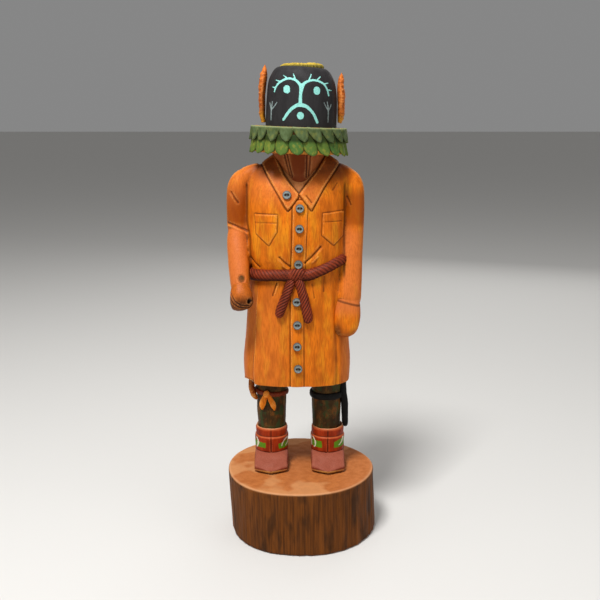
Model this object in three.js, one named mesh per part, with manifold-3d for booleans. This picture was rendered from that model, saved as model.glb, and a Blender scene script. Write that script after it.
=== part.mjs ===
// A carved and painted kachina doll standing on a slab cut from a branch.
// Millimetres, +Z up. The doll faces -Y, and the origin is the centre of the slab's underside.
import * as THREE from "three";
import { mergeVertices } from "three/addons/utils/BufferGeometryUtils.js";
import Module from "manifold-3d";

const wasm = await Module();
wasm.setup();

// ---- driving dimensions ----
const SLAB_HEIGHT = 38.7;
const SLAB_RADIUS = 45;
const SLAB_LEAN = 1; // the branch leans: its top lies this far to -X of the middle, its foot as far to +X
const SLAB_EDGE = 1.2; // rubbed corner at the top and bottom rims
const SOLE_Z = 39; // the moccasins' soles, 0.3 mm over the slab

const AXIS_Y = 4; // the doll stands a little behind the middle of the slab
const LEG_LEFT_X = 14.8; // the doll's own left, at +X
const LEG_RIGHT_X = -19;
const LEG_RADIUS = 9;
const CUFF_TOP = 64; // top of the moccasins' ankle wraps
const CUFF_FOOT = 58.2; // where the outer wrap ends and the cuff stands out of it

const HEM_Z = 95; // level lower edge of the coat
const WAIST_Z = 161.1; // middle of the rope belt in front
const BELT_RISE = 8.6; // how much higher the rope lies at the doll's left hip
const ROPE_RADIUS = 3.05;
const SEAM_X = -1.9; // middle of the coat's front placket
const PLACKET_HALF_WIDTH = 4.4;
const PLACKET_TOP = 206;
const PLACKET_RELIEF = 0.6;
const COLLAR_RELIEF = 1.5;
const POCKET_RELIEF = 0.7;
const BUTTON_RADIUS = 2.45;
const BUTTON_RELIEF = 1.6;

const HEAD_X = -0.9;
const HEAD_Y = 3;
const HEAD_TILT = Math.tan(3 * (Math.PI / 180)); // the head hangs lower on the doll's left
const MASK_RADIUS = 20.2;
const RUFF_X = -2.2;
const RUFF_TILT = Math.tan(2 * (Math.PI / 180)); // the ruff hangs a little less than the head
const RUFF_TOP = 244.6;
const RUFF_TIPS = [237, 229.6]; // where the leaves of the two rows end
const RUFF_RADIUS = 27;
const RUFF_DEPTH = 0.97; // its front-to-back size over its width
const LEAVES = 21; // leaves in each row
const LEAF_SIDES = 4; // facets across a leaf
const LEAF_RELIEF = 1.9; // how far the middle of a leaf's edge stands out
const LEAF_ROUNDING = 3.2; // how much higher a leaf's corners lie than its tip
const CROWN_TOP = 279.7;
const HEAD_LEAN = 0.5; // how far the top of the mask stands to the doll's left of its foot
const EAR_HALF_WIDTH = 5.6;

const DEGREE = Math.PI / 180;

// ---- solids and meshes ----

/** A closed three.js geometry as a solid that can be joined and cut. */
function solid(geometry) {
  const bare = geometry.clone();
  bare.deleteAttribute("normal");
  bare.deleteAttribute("uv");
  const merged = mergeVertices(bare, 1e-3);
  const positions = merged.getAttribute("position").array;
  const corners = new Uint32Array(merged.index.array);
  return new wasm.Manifold(new wasm.Mesh({ numProp: 3, vertProperties: positions, triVerts: corners }));
}

/** A solid as a named, painted three.js mesh with flat faces. */
function meshOf(name, body, material) {
  const mesh = body.getMesh();
  const geometry = new THREE.BufferGeometry();
  geometry.setAttribute("position", new THREE.BufferAttribute(mesh.vertProperties, 3));
  geometry.setIndex(new THREE.BufferAttribute(mesh.triVerts, 1));
  geometry.computeVertexNormals();
  const made = new THREE.Mesh(geometry, material);
  made.name = name;
  return made;
}

/** Moves every vertex of a geometry to where change(point) puts it. */
function reshape(geometry, change) {
  const position = geometry.getAttribute("position");
  const point = new THREE.Vector3();
  for (let i = 0; i < position.count; i++) {
    change(point.fromBufferAttribute(position, i));
    position.setXYZ(i, point.x, point.y, point.z);
  }
  return geometry;
}

const union = (bodies) => wasm.Manifold.union(bodies);

/** 0 on the near side of from, 1 beyond to, and a smooth step between; from may be the larger. */
function ease(value, from, to) {
  const share = THREE.MathUtils.clamp((value - from) / (to - from), 0, 1);
  return share * share * (3 - 2 * share);
}

const signedPower = (value, power) => Math.sign(value) * Math.abs(value) ** power;

/**
 * A form swept along keys of [x, y, z, half width, half depth, squareness]. Each ring is square to the path,
 * or level, with its width along X. Squareness 2 is an ellipse, and more is squarer. relief(angle, z) pushes
 * the skin out by mm.
 */
function sweep(keys, around, relief = () => 0, level = false) {
  const places = keys.map((k) => new THREE.Vector3(k[0], k[1], k[2]));
  const girths = keys.map((k) => new THREE.Vector3(k[3], k[4], k[5]));
  const path = new THREE.CatmullRomCurve3(places, false, "catmullrom");
  const girth = new THREE.CatmullRomCurve3(girths, false, "catmullrom");
  const rows = keys.length - 1;
  const form = new THREE.CylinderGeometry(1, 1, 1, around, rows).rotateX(Math.PI / 2);
  const side = new THREE.Vector3();
  const fore = new THREE.Vector3();
  return reshape(form, (point) => {
    const t = Math.round((point.z + 0.5) * rows) / rows;
    const reach = Math.min(1, Math.hypot(point.x, point.y));
    const angle = Math.atan2(point.y, point.x);
    const tangent = level ? new THREE.Vector3(0, 0, 1) : path.getTangent(t);
    const size = girth.getPoint(t);
    const centre = path.getPoint(t);
    side.set(1, 0, 0).addScaledVector(tangent, -tangent.x).normalize();
    fore.crossVectors(tangent, side);
    const out = relief(angle, centre.z);
    const wide = size.x * signedPower(Math.cos(angle), 2 / size.z) + out * Math.cos(angle);
    const deep = size.y * signedPower(Math.sin(angle), 2 / size.z) + out * Math.sin(angle);
    point.copy(centre).addScaledVector(side, reach * wide).addScaledVector(fore, reach * deep);
  });
}

/** A prism whose outline is a list of [x, z] seen from the front, reaching from y = near to y = far. */
function frontPrism(outline, near, far) {
  const points = outline.map(([x, z]) => new THREE.Vector2(x, z));
  const shape = new THREE.Shape(THREE.ShapeUtils.isClockWise(points) ? points.reverse() : points);
  const prism = new THREE.ExtrudeGeometry(shape, { depth: far - near, bevelEnabled: false });
  return prism.rotateX(Math.PI / 2).translate(0, far, 0);
}

/** Outline points moved to (x, z), and turned left to right where flip is -1. */
const placed = (outline, x, z, flip = 1) => outline.map(([px, pz]) => [x + flip * px, z + pz]);

// ---- the slab ----

/** A slice of a branch: nearly round, leaning a little, with softened rims. */
function slab() {
  const rows = [
    [0, -SLAB_EDGE],
    [SLAB_EDGE, 0],
    [SLAB_HEIGHT - SLAB_EDGE, 0],
    [SLAB_HEIGHT, -SLAB_EDGE],
  ];
  const form = new THREE.CylinderGeometry(1, 1, 1, 36, rows.length - 1).rotateX(Math.PI / 2);
  reshape(form, (point) => {
    const [z, inset] = rows[Math.round((point.z + 0.5) * (rows.length - 1))];
    const angle = Math.atan2(point.y, point.x);
    const reach = Math.min(1, Math.hypot(point.x, point.y));
    const wobble = 0.5 * Math.cos(3 * angle + 0.6) + 0.35 * Math.cos(5 * angle - 1.1);
    const radius = reach * (SLAB_RADIUS + inset + wobble);
    const lean = SLAB_LEAN * (1 - (2 * z) / SLAB_HEIGHT);
    point.set(radius * Math.cos(angle) + lean, radius * Math.sin(angle), z);
  });
  form.computeBoundingBox();
  const middle = form.boundingBox.getCenter(new THREE.Vector3());
  return form.translate(-middle.x, -middle.y, 0);
}

// ---- the coat ----

const COAT = [
  [-3.5, 4, HEM_Z, 32, 21.5, 2.7],
  [-3.5, 4, 106, 32.6, 22, 2.7],
  [-3.3, 4, 120, 31.4, 21.8, 2.6],
  [-3.2, 4, 136, 30.4, 21.4, 2.6],
  [-3.2, 4, 150, 29.2, 21, 2.5],
  [-3.2, 4, 158, 28.2, 20.2, 2.5],
  [-3.2, 4, 163, 27.6, 19.4, 2.5],
  [-3.4, 4, 168.5, 28.6, 21.4, 2.5],
  [-3.6, 4, 178, 28.8, 21.8, 2.5],
  [-3.6, 4, 190, 28.4, 21.4, 2.5],
  [-3.6, 4, 202, 28.6, 19.8, 2.5],
  [-3, 4.6, 212, 29.6, 17, 2.4],
  [-2.2, 5, 218.5, 31, 14.6, 2.3],
  [-1.6, 5, 221.8, 30, 13, 2.2],
  [-1, 5, 224.4, 26, 12, 2.2],
  [-0.9, 5, 227, 20.5, 11, 2.1],
  [-0.9, 5, 229, 15, 10, 2.1],
];
const LAP_TURN = -57 * DEGREE; // where the front panel's side edge lies, from straight in front
const PLEAT_TURN = 54 * DEGREE;

/** The skirt's folds: a lapped panel at the doll's right side, a pleat at its left, and soft folds behind. */
function skirtFolds(angle, z) {
  const turn = THREE.MathUtils.euclideanModulo(angle + 1.5 * Math.PI, 2 * Math.PI) - Math.PI;
  const skirt = 1 - ease(z, 138, 156);
  const underLap = ease(turn, LAP_TURN, LAP_TURN - 3 * DEGREE) * (1 - ease(turn, -66 * DEGREE, -96 * DEGREE));
  const pleat = Math.exp(-(((turn - PLEAT_TURN) / (4 * DEGREE)) ** 2));
  const behind = ease(Math.abs(turn), 95 * DEGREE, 125 * DEGREE);
  return skirt * (0.8 * behind * Math.cos(9 * turn) - 1.5 * underLap - 0.8 * pleat);
}

/** The coat, or the same form grown by some millimetres, from which what stands out on the coat is cut. */
function coat(grown = 0) {
  return solid(sweep(COAT, 34, (angle, z) => grown + skirtFolds(angle, z), true));
}

/** The part of a coat grown by height that lies inside an outline seen from the front. */
function coatRelief(outline, height, near = -40, far = 0) {
  return coat(height).intersect(solid(frontPrism(outline, near, far)));
}

const COLLAR_FLAP = [
  [0.3, 208.6],
  [6.4, 198.4],
  [17.6, 216],
  [24, 232],
  [10.6, 232],
  [10, 222],
];
const COLLAR_BAND = [
  [-22, 212],
  [-24, 217],
  [-20, 232],
  [16, 232],
  [20, 217],
  [18, 212],
];
const POCKET = [
  [-8.2, 17],
  [6.2, 17],
  [6.2, 5.5],
  [0.6, -1.5],
  [-7.6, 7],
];
const POCKETS = [
  [-19.6, 180.5, 1],
  [15.6, 180.8, -1],
];

function collar() {
  return union([
    coatRelief(placed(COLLAR_FLAP, SEAM_X, 0), COLLAR_RELIEF, -40, 6),
    coatRelief(placed(COLLAR_FLAP, SEAM_X, 0, -1), COLLAR_RELIEF, -40, 6),
    coatRelief(COLLAR_BAND, COLLAR_RELIEF, 3, 40),
  ]);
}

function pockets() {
  return union(POCKETS.map(([x, z, flip]) => coatRelief(placed(POCKET, x, z, flip), POCKET_RELIEF)));
}

function placket() {
  const [west, east] = [SEAM_X - PLACKET_HALF_WIDTH, SEAM_X + PLACKET_HALF_WIDTH];
  const outline = [
    [west, HEM_Z],
    [east, HEM_Z],
    [east, PLACKET_TOP],
    [west, PLACKET_TOP],
  ];
  return coatRelief(outline, PLACKET_RELIEF);
}

const BUTTONS = [
  [-8.9, 207],
  [-1.6, 199.6],
  [-1.8, 188.2],
  [-2.1, 177],
  [-2.4, 167.4],
  [-3.7, 145.6],
  [-3.1, 132.2],
  [-3.1, 119.4],
  [-2.6, 106],
];

function buttons() {
  const discs = BUTTONS.map(([x, z]) => {
    const disc = new THREE.CylinderGeometry(BUTTON_RADIUS, BUTTON_RADIUS, 40, 8);
    return solid(disc.translate(x, -20, z));
  });
  return coat(BUTTON_RELIEF).intersect(union(discs));
}

// ---- the rope belt ----

/** The closed line of the belt's middle, lying half sunk in the waist and rising to the doll's left hip. */
class BeltLine extends THREE.Curve {
  getPoint(t, target = new THREE.Vector3()) {
    const angle = 2 * Math.PI * t;
    const x = -3.2 + 28.2 * signedPower(Math.cos(angle), 0.8);
    const y = AXIS_Y + 20.2 * signedPower(Math.sin(angle), 0.8);
    return target.set(x, y, WAIST_Z + BELT_RISE * ease(x, 0, 28) - 0.8 * ease(x, -12, -29));
  }
}

function belt() {
  const line = new BeltLine();
  const ring = new THREE.TorusGeometry(2, 1, 6, 30);
  const out = new THREE.Vector3();
  return reshape(ring, (point) => {
    const across = Math.hypot(point.x, point.y) - 2;
    const height = point.z;
    const t = THREE.MathUtils.euclideanModulo(Math.atan2(point.y, point.x) / (2 * Math.PI), 1);
    const middle = line.getPoint(t);
    out.set(middle.x + 3.2, (middle.y - AXIS_Y) * 1.9, 0).normalize();
    point.copy(middle).addScaledVector(out, ROPE_RADIUS * across);
    point.z += ROPE_RADIUS * height;
  });
}

const TAILS = [
  [
    [-13.7, -17.9, 137.2, 1.3, 1.3, 2],
    [-13.5, -18.1, 138, 2.2, 2.2, 2],
    [-12.6, -18.2, 141.5, 2.7, 2.6, 2],
    [-9.4, -17.9, 150, 2.6, 2.5, 2],
    [-7, -17.2, 156.5, 2.5, 2.4, 2],
    [-6, -15.4, 160.5, 2.2, 2.2, 2],
  ],
  [
    [3.4, -18.2, 133.8, 1.4, 1.3, 2],
    [3.2, -18.4, 134.7, 2.3, 2.2, 2],
    [2.8, -18.5, 138.5, 2.9, 2.7, 2],
    [0.7, -18.2, 148, 2.7, 2.6, 2],
    [-1.7, -17.4, 156.5, 2.6, 2.5, 2],
    [-2.6, -15.4, 160.5, 2.3, 2.2, 2],
  ],
];
const KNOT = [
  [-3.4, -16.8, 157.7, 2.4, 1.4, 2],
  [-3.4, -16.8, 159.4, 4.6, 2.9, 2],
  [-3.4, -16.8, 164.2, 4.6, 2.9, 2],
  [-3.4, -16.8, 165.8, 2.4, 1.4, 2],
];

// ---- the arms and hands ----

const RIGHT_UPPER_ARM = [
  [-38.4, 5.6, 181.6, 4.2, 4.6, 2.2],
  [-38.4, 5.6, 184, 5.8, 6.6, 2.4],
  [-38.5, 5.4, 188, 6.1, 7.2, 2.4],
  [-38.5, 5, 203, 6.2, 7.2, 2.3],
  [-37.9, 5, 213, 6.2, 7.2, 2.2],
  [-36.9, 5, 217.8, 5.4, 6.4, 2.1],
  [-35.4, 5, 221, 3.2, 4.6, 2],
];
const RIGHT_FOREARM = [
  [-35.6, -16.4, 150, 5.2, 5.4, 2.2],
  [-35.9, -14, 154, 5.7, 5.9, 2.3],
  [-37.6, -5, 169, 6.2, 6.4, 2.3],
  [-38.5, 1.6, 180.6, 6.1, 6.4, 2.3],
  [-38.5, 4, 184.8, 5.7, 6, 2.2],
  [-38.4, 5.6, 187.6, 3.6, 4, 2],
];
const RIGHT_FIST = [
  [-34.4, -18.6, 141.4, 3.2, 3.6, 2.2],
  [-34.6, -18.5, 142.4, 5.4, 5.8, 2.6],
  [-35, -18.3, 144.8, 6.5, 7, 2.7],
  [-35.3, -17.8, 148.8, 6.5, 7, 2.6],
  [-35.7, -16.6, 152.6, 5.7, 6, 2.3],
  [-36, -15.4, 155.6, 4.8, 5, 2.1],
];
const LEFT_ARM = [
  [26.1, -7, 144.3, 6.9, 6.2, 2.6],
  [26.7, -6.7, 146.6, 7.6, 6.8, 2.7],
  [27.4, -5.8, 151, 7.3, 6.9, 2.6],
  [28, -3.6, 157, 7, 6.7, 2.4],
  [28.3, -0.8, 166, 7, 6.8, 2.4],
  [28.9, 3.2, 178, 6.9, 7, 2.4],
  [29.5, 4.6, 185, 6.6, 7.1, 2.3],
  [30.2, 5, 192, 6.2, 7.2, 2.3],
  [30.3, 5, 203, 6.2, 7.2, 2.3],
  [29.8, 5, 213, 6.2, 7.2, 2.2],
  [28.8, 5, 217.8, 5.4, 6.4, 2.1],
  [27.2, 5, 221, 3.2, 4.6, 2],
];
const LEFT_HAND = [
  [25, -10.2, 123.6, 2.6, 2.6, 2.2],
  [25, -10.2, 124.8, 4.9, 4.6, 2.4],
  [25.2, -9.9, 128.4, 7.1, 6, 2.6],
  [26.2, -9, 136, 7.9, 6.5, 2.8],
  [26.7, -8, 143, 7.6, 6.5, 2.8],
  [26.9, -7, 147.6, 7.1, 6.2, 2.6],
  [27.2, -6, 150, 5.6, 5, 2.2],
];
/** The slope that joins an upper arm to the coat above the armpit. */
const RIGHT_SHOULDER = [
  [-37.4, 5, 212.6, 5, 6.2, 2.1],
  [-36, 5, 216, 5.4, 6.4, 2.1],
  [-33, 5, 219.6, 5.2, 6.4, 2.1],
  [-29, 5, 222.2, 4, 5.6, 2.1],
  [-25, 5, 223.8, 2.2, 3.6, 2],
];
const LEFT_SHOULDER = [
  [29.4, 5, 212.6, 5, 6.2, 2.1],
  [28, 5, 216, 5.4, 6.4, 2.1],
  [25.4, 5, 219.6, 5.2, 6.4, 2.1],
  [22.4, 5, 222.2, 4, 5.6, 2.1],
  [19.4, 5, 223.8, 2.2, 3.6, 2],
];
const FINGERS = 4;
const FINGER_RELIEF = 0.5;

/** Four curled fingers as ridges across the front of the closed hand. */
function knuckles(angle, z) {
  const across = THREE.MathUtils.euclideanModulo(angle + 1.5 * Math.PI, 2 * Math.PI) - Math.PI;
  const inFront = 1 - ease(Math.abs(across), 60 * DEGREE, 90 * DEGREE);
  const ridge = Math.cos((2 * Math.PI * FINGERS * across) / (120 * DEGREE));
  return FINGER_RELIEF * inFront * ridge * (1 - ease(z, 148, 152));
}

// ---- the legs and moccasins ----

/** A leg that runs up into the coat. */
function leg(x) {
  const keys = [
    [x, AXIS_Y, 60, LEG_RADIUS - 0.6, LEG_RADIUS - 0.6, 2],
    [x, AXIS_Y, 78, LEG_RADIUS, LEG_RADIUS, 2],
    [x, AXIS_Y, 100, LEG_RADIUS + 0.4, LEG_RADIUS + 0.2, 2],
  ];
  return sweep(keys, 16);
}

/** An ankle wrap with its rolled top, standing on a foot whose toe is slightly pointed. */
function moccasin(x, halfWidth) {
  const wrap = [
    [x, AXIS_Y, 45, halfWidth - 0.3, 10.6, 2.2],
    [x, AXIS_Y, 52, halfWidth, 10.8, 2.2],
    [x, AXIS_Y, CUFF_FOOT - 0.4, halfWidth, 10.9, 2.2],
    [x, AXIS_Y, CUFF_FOOT + 0.2, halfWidth - 0.5, 10.4, 2.2],
    [x, AXIS_Y, CUFF_TOP - 0.8, halfWidth - 0.4, 10.5, 2.2],
    [x, AXIS_Y, CUFF_TOP, halfWidth - 1.2, 9.7, 2.2],
  ];
  const lengths = [
    [-16.4, 1.2, 2.3],
    [-15.4, 5.2, 2.8],
    [-13.2, 9.7, 4.2],
    [-10, 10.1, 7],
    [-7, 10.2, 9.6],
    [0, 10.3, 11],
    [8, 10, 11.4],
    [14, 9.2, 10],
    [17.4, 6.4, 7.6],
    [18.4, 3, 5.4],
  ];
  const foot = lengths.map(([y, wide, high]) => [x, y, SOLE_Z + high / 2, wide, high / 2, 3.2]);
  return union([solid(sweep(wrap, 16)), solid(sweep(foot, 14))]);
}

/** A garter's band round a leg, sloping by fall from side to side. */
function garter(x, z, fall, width, thickness) {
  const band = new THREE.TorusGeometry(LEG_RADIUS + 0.3, 1, 5, 16);
  return reshape(band, (point) => {
    const reach = Math.hypot(point.x, point.y);
    const [cos, sin] = [point.x / reach, point.y / reach];
    const radius = LEG_RADIUS + 0.3 + thickness * (reach - LEG_RADIUS - 0.3);
    point.set(x + radius * cos, AXIS_Y + radius * sin, z + (width / 2) * point.z + fall * cos);
  });
}

const BOW = [
  [
    [-27.6, -1, 81.6, 0.9, 0.9, 2],
    [-29.6, -0.6, 84, 1.8, 1.8, 2],
    [-31, 0.6, 88, 1.9, 2, 2],
    [-31.2, 2, 92.6, 1.8, 1.8, 2],
    [-30.6, 3, 96.4, 1.2, 1.2, 2],
  ],
  [
    [-24.6, -4, 75.8, 0.8, 0.8, 2],
    [-24.4, -4.6, 79.2, 2.2, 1.2, 2],
    [-23.2, -5.4, 83, 1.8, 1.2, 2],
    [-21.8, -6, 87.2, 1, 1, 2],
  ],
  [
    [-16.8, -5.8, 74.4, 0.8, 0.8, 2],
    [-17.6, -6.2, 78.4, 1.8, 1.2, 2],
    [-19.2, -6.2, 82.6, 1.6, 1.2, 2],
    [-21.4, -6.2, 87.2, 1, 1, 2],
  ],
  [
    [-21.9, -6, 84.2, 0.9, 0.8, 2],
    [-21.9, -6.2, 85.4, 2, 1.7, 2],
    [-21.8, -6.2, 87.2, 2, 1.7, 2],
    [-21.8, -6, 88.4, 0.9, 0.8, 2],
  ],
];
const LEFT_TIE = [
  [26.6, 2.2, 63.2, 1.2, 0.9, 2],
  [26.4, 2, 64.8, 1.9, 1.4, 2.4],
  [25.8, 1.6, 79, 2.3, 1.5, 2.4],
  [24.9, 1.4, 84, 2.5, 2, 2],
  [24.6, 1.4, 88, 2.4, 2.2, 2],
  [25.2, 1.8, 96.4, 1.6, 1.4, 2],
];

// ---- the head ----

/** The head's tilt: what lies to the doll's left hangs lower. */
function tilt(geometry, amount = HEAD_TILT) {
  return reshape(geometry, (point) => {
    point.z -= amount * (point.x - HEAD_X);
  });
}

/** The case mask, a drum with a rounded shoulder, and the low tuft of feathers on its crown. */
function mask() {
  const profile = [
    [0, 226],
    [MASK_RADIUS - 1.6, 226],
    [MASK_RADIUS + 0.2, 244],
    [MASK_RADIUS, 256],
    [MASK_RADIUS - 0.4, 264],
    [MASK_RADIUS - 1.3, 270],
    [MASK_RADIUS - 3.2, 274.4],
    [MASK_RADIUS - 5.6, 277.2],
    [12.9, 278.2],
    [9.6, CROWN_TOP - 0.5],
    [5, CROWN_TOP],
    [0, CROWN_TOP],
  ];
  const points = profile.map(([r, z]) => new THREE.Vector2(r, z));
  const drum = new THREE.LatheGeometry(points, 24).rotateX(Math.PI / 2);
  reshape(drum, (point) => {
    point.x += HEAD_LEAN * THREE.MathUtils.smoothstep(point.z, 246, 262);
  });
  return tilt(drum.translate(HEAD_X, HEAD_Y, 0));
}

/** How far a leaf's edge lies over its tip, and how proud it stands, at a share of the leaf's width. */
function leafEdge(share) {
  const fromMiddle = Math.abs(2 * THREE.MathUtils.euclideanModulo(share, 1) - 1);
  return { rise: LEAF_ROUNDING * fromMiddle ** 2, proud: LEAF_RELIEF * (1 - 0.45 * fromMiddle) };
}

/** The ruff of fir: a drum of two staggered rows of leaves, each row stepping in under its scalloped edge. */
function ruff() {
  const rows = [
    { z: 229.6, r: RUFF_RADIUS - 3 },
    { z: RUFF_TIPS[1] + 0.3, r: RUFF_RADIUS - 1.4, leaf: 0, share: 0 },
    { z: RUFF_TIPS[1], r: RUFF_RADIUS, leaf: 0, share: 1 },
    { z: RUFF_TIPS[0] - 0.6, r: RUFF_RADIUS - 0.4, leaf: 0.75, share: 0.1 },
    { z: RUFF_TIPS[0], r: RUFF_RADIUS + 0.2, leaf: 0.75, share: 1 },
    { z: RUFF_TOP - 1.6, r: RUFF_RADIUS, leaf: 0.75, share: 0.55, level: true },
    { z: RUFF_TOP, r: RUFF_RADIUS - 0.8 },
  ];
  const form = new THREE.CylinderGeometry(1, 1, 1, LEAF_SIDES * LEAVES, rows.length - 1).rotateX(Math.PI / 2);
  reshape(form, (point) => {
    const row = rows[Math.round((point.z + 0.5) * (rows.length - 1))];
    const angle = Math.atan2(point.y, point.x);
    const edge = leafEdge((angle * LEAVES) / (2 * Math.PI) + (row.leaf ?? 0));
    const proud = row.leaf === undefined ? 0 : edge.proud * row.share;
    const rise = row.leaf === undefined || row.level ? 0 : edge.rise;
    const radius = Math.min(1, Math.hypot(point.x, point.y)) * (row.r + proud);
    point.set(radius * Math.cos(angle), RUFF_DEPTH * radius * Math.sin(angle), row.z + rise);
    point.x += RUFF_X;
    point.y += HEAD_Y;
  });
  return tilt(form, RUFF_TILT);
}

const NECK = [
  [-1.8, AXIS_Y, 206, 11.6, 13.4, 2],
  [-1.8, AXIS_Y, 214, 12.4, 12.8, 2],
  [-1.8, AXIS_Y, 222, 13.3, 12, 2],
  [-1.8, AXIS_Y, 233, 13.6, 12, 2],
];

// Each ear's steps: height, distance of its inner face from the head's axis, thickness, share of its width.
const EAR_RIGHT = [
  [246.1, 20.5, 2.4, 0.42],
  [250, 20.5, 3.5, 0.62],
  [257.4, 20.5, 3.8, 0.95],
  [263.8, 20.2, 4.1, 1],
  [270.2, 19.4, 4.5, 0.82],
  [275, 19.2, 3.1, 0.45],
  [278.2, 20.3, 0.5, 0.08],
];
const EAR_LEFT = [
  [248, 20.9, 2.5, 0.42],
  [251.3, 20.9, 3.8, 0.62],
  [257.8, 20.9, 4.4, 0.95],
  [263.3, 20.8, 4.5, 1],
  [268.9, 20.6, 4.2, 0.82],
  [273.1, 21.4, 2.8, 0.45],
  [275.9, 23.1, 0.5, 0.08],
];

/** An ear of carved wood on the side (-1 or 1) of the mask: a leaf standing up along it. */
function ear(side, steps) {
  const form = new THREE.CylinderGeometry(1, 1, 1, 8, steps.length - 1).rotateX(Math.PI / 2);
  reshape(form, (point) => {
    const [height, inner, thick, spread] = steps[Math.round((point.z + 0.5) * (steps.length - 1))];
    const out = inner + (thick / 2) * (point.x + 1);
    point.set(side * out, EAR_HALF_WIDTH * spread * point.y, height);
  });
  if (side < 0) form.index.array.reverse();
  return tilt(form.translate(HEAD_X, HEAD_Y, 0));
}

// ---- the whole ----

function figure() {
  const swept = [
    [NECK, 16],
    [RIGHT_UPPER_ARM, 12],
    [RIGHT_FOREARM, 12],
    [LEFT_ARM, 12],
    [RIGHT_SHOULDER, 10],
    [LEFT_SHOULDER, 10],
    [LEFT_HAND, 12],
    [KNOT, 10],
    [LEFT_TIE, 6],
    ...TAILS.map((keys) => [keys, 8]),
    ...BOW.map((keys) => [keys, 6]),
  ];
  return union([
    coat(),
    collar(),
    pockets(),
    placket(),
    buttons(),
    solid(belt()),
    ...swept.map(([keys, around]) => solid(sweep(keys, around))),
    solid(sweep(RIGHT_FIST, 24, knuckles)),
    solid(leg(LEG_RIGHT_X)),
    solid(leg(LEG_LEFT_X)),
    moccasin(LEG_RIGHT_X - 0.1, 10.2),
    moccasin(LEG_LEFT_X + 0.8, 10.3),
    solid(garter(LEG_RIGHT_X, 86, -0.6, 2.9, 1.3)),
    solid(garter(LEG_LEFT_X, 84.2, 0, 4.2, 1.1)),
    solid(mask()),
    solid(ruff()),
  ]);
}

const paint = (color, roughness) => new THREE.MeshStandardMaterial({ color, roughness, metalness: 0 });

const doll = new THREE.Group();
doll.name = "kachina_doll";
doll.add(meshOf("base", solid(slab()), paint("#8a5527", 0.7)));
doll.add(meshOf("figure", figure(), paint("#d1792f", 0.65)));
doll.add(meshOf("ear_right", solid(ear(-1, EAR_RIGHT)), paint("#c8402a", 0.65)));
doll.add(meshOf("ear_left", solid(ear(1, EAR_LEFT)), paint("#c8402a", 0.65)));

export default doll;
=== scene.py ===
import math

import bpy
import numpy as np
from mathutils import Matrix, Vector, noise


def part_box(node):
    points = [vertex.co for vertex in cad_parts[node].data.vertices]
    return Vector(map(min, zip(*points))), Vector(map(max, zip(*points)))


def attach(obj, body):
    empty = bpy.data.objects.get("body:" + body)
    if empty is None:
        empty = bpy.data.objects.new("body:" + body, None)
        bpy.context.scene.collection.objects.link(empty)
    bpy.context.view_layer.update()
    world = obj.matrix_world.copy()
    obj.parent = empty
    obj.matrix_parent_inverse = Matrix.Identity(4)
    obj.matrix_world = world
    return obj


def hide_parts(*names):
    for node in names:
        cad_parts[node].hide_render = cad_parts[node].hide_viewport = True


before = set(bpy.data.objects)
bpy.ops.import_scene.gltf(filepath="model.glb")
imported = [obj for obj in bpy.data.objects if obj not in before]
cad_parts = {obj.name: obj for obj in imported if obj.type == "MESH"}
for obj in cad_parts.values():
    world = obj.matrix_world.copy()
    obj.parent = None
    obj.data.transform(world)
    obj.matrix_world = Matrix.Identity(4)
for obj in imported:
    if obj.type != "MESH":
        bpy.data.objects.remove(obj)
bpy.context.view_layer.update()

MM = 0.001

# ---- sizes that the frame gives ----


def heights(node):
    """A CAD node's lowest and highest heights, in millimetres."""
    low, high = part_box(node)
    return low[2] / MM, high[2] / MM


SLAB_TOP = heights("base")[1]
SOLE, CROWN = heights("figure")

# ---- the doll's own sizes ----

AXIS_Y = 4
HEM = 94.5
WAIST = 161.1
BELT_RISE = 8.6
ROPE_RADIUS = 3.3
HEAD_X, HEAD_Y = -0.9, 3
HEAD_TILT = math.tan(math.radians(3))
MASK_FOOT = 244.6
HEAD_LEAN = 0.5
RUFF_X = -2.2
RUFF_TILT = math.tan(math.radians(2))
RUFF_DEPTH = 0.97
RUFF_TOP = 244.6
RUFF_TIPS = (237, 229.6)
LEAVES = 21
LEG_RADIUS = 9
LEGS = {"right": -19, "left": 14.8}

# ---- modelling ----


def bare():
    """Nothing is selected."""
    bpy.ops.object.select_all(action="DESELECT")


def choose(piece):
    """Only this piece is selected and active."""
    bare()
    piece.select_set(True)
    bpy.context.view_layer.objects.active = piece


def edit(piece):
    """Starts editing a piece, with all its faces selected."""
    choose(piece)
    bpy.ops.object.mode_set(mode="EDIT")
    bpy.ops.mesh.select_mode(type="FACE")
    bpy.ops.mesh.select_all(action="SELECT")


def edited():
    bpy.ops.object.mode_set(mode="OBJECT")


def made(name):
    """Names what an operator has just added, with its place in its mesh."""
    piece = bpy.context.object
    piece.name = name
    piece.data.name = name
    bpy.ops.object.transform_apply(location=True, rotation=True, scale=True)
    return piece


def points(piece):
    """A piece's vertices in millimetres."""
    flat = np.empty(len(piece.data.vertices) * 3)
    piece.data.vertices.foreach_get("co", flat)
    return flat.reshape(-1, 3) / MM


def put(piece, places):
    """Moves a piece's vertices to places in millimetres."""
    piece.data.vertices.foreach_set("co", (places * MM).ravel())
    piece.data.update()


def normals(piece):
    flat = np.empty(len(piece.data.vertices) * 3)
    piece.data.vertices.foreach_get("normal", flat)
    return flat.reshape(-1, 3)


def store(piece, name, values):
    """Keeps a number for each vertex, for the piece's material."""
    data = piece.data.attributes
    kept = data[name] if name in data else data.new(name, "FLOAT", "POINT")
    kept.data.foreach_set("value", np.asarray(values, dtype=np.float32))


def recall(piece, name):
    values = np.empty(len(piece.data.vertices), dtype=np.float32)
    piece.data.attributes[name].data.foreach_get("value", values)
    return values


def finish_with(piece, kind, **settings):
    """Adds a modifier and applies it."""
    choose(piece)
    modifier = piece.modifiers.new(kind.title(), kind)
    for key, value in settings.items():
        setattr(modifier, key, value)
    bpy.ops.object.modifier_apply(modifier=modifier.name)
    return piece


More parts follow.
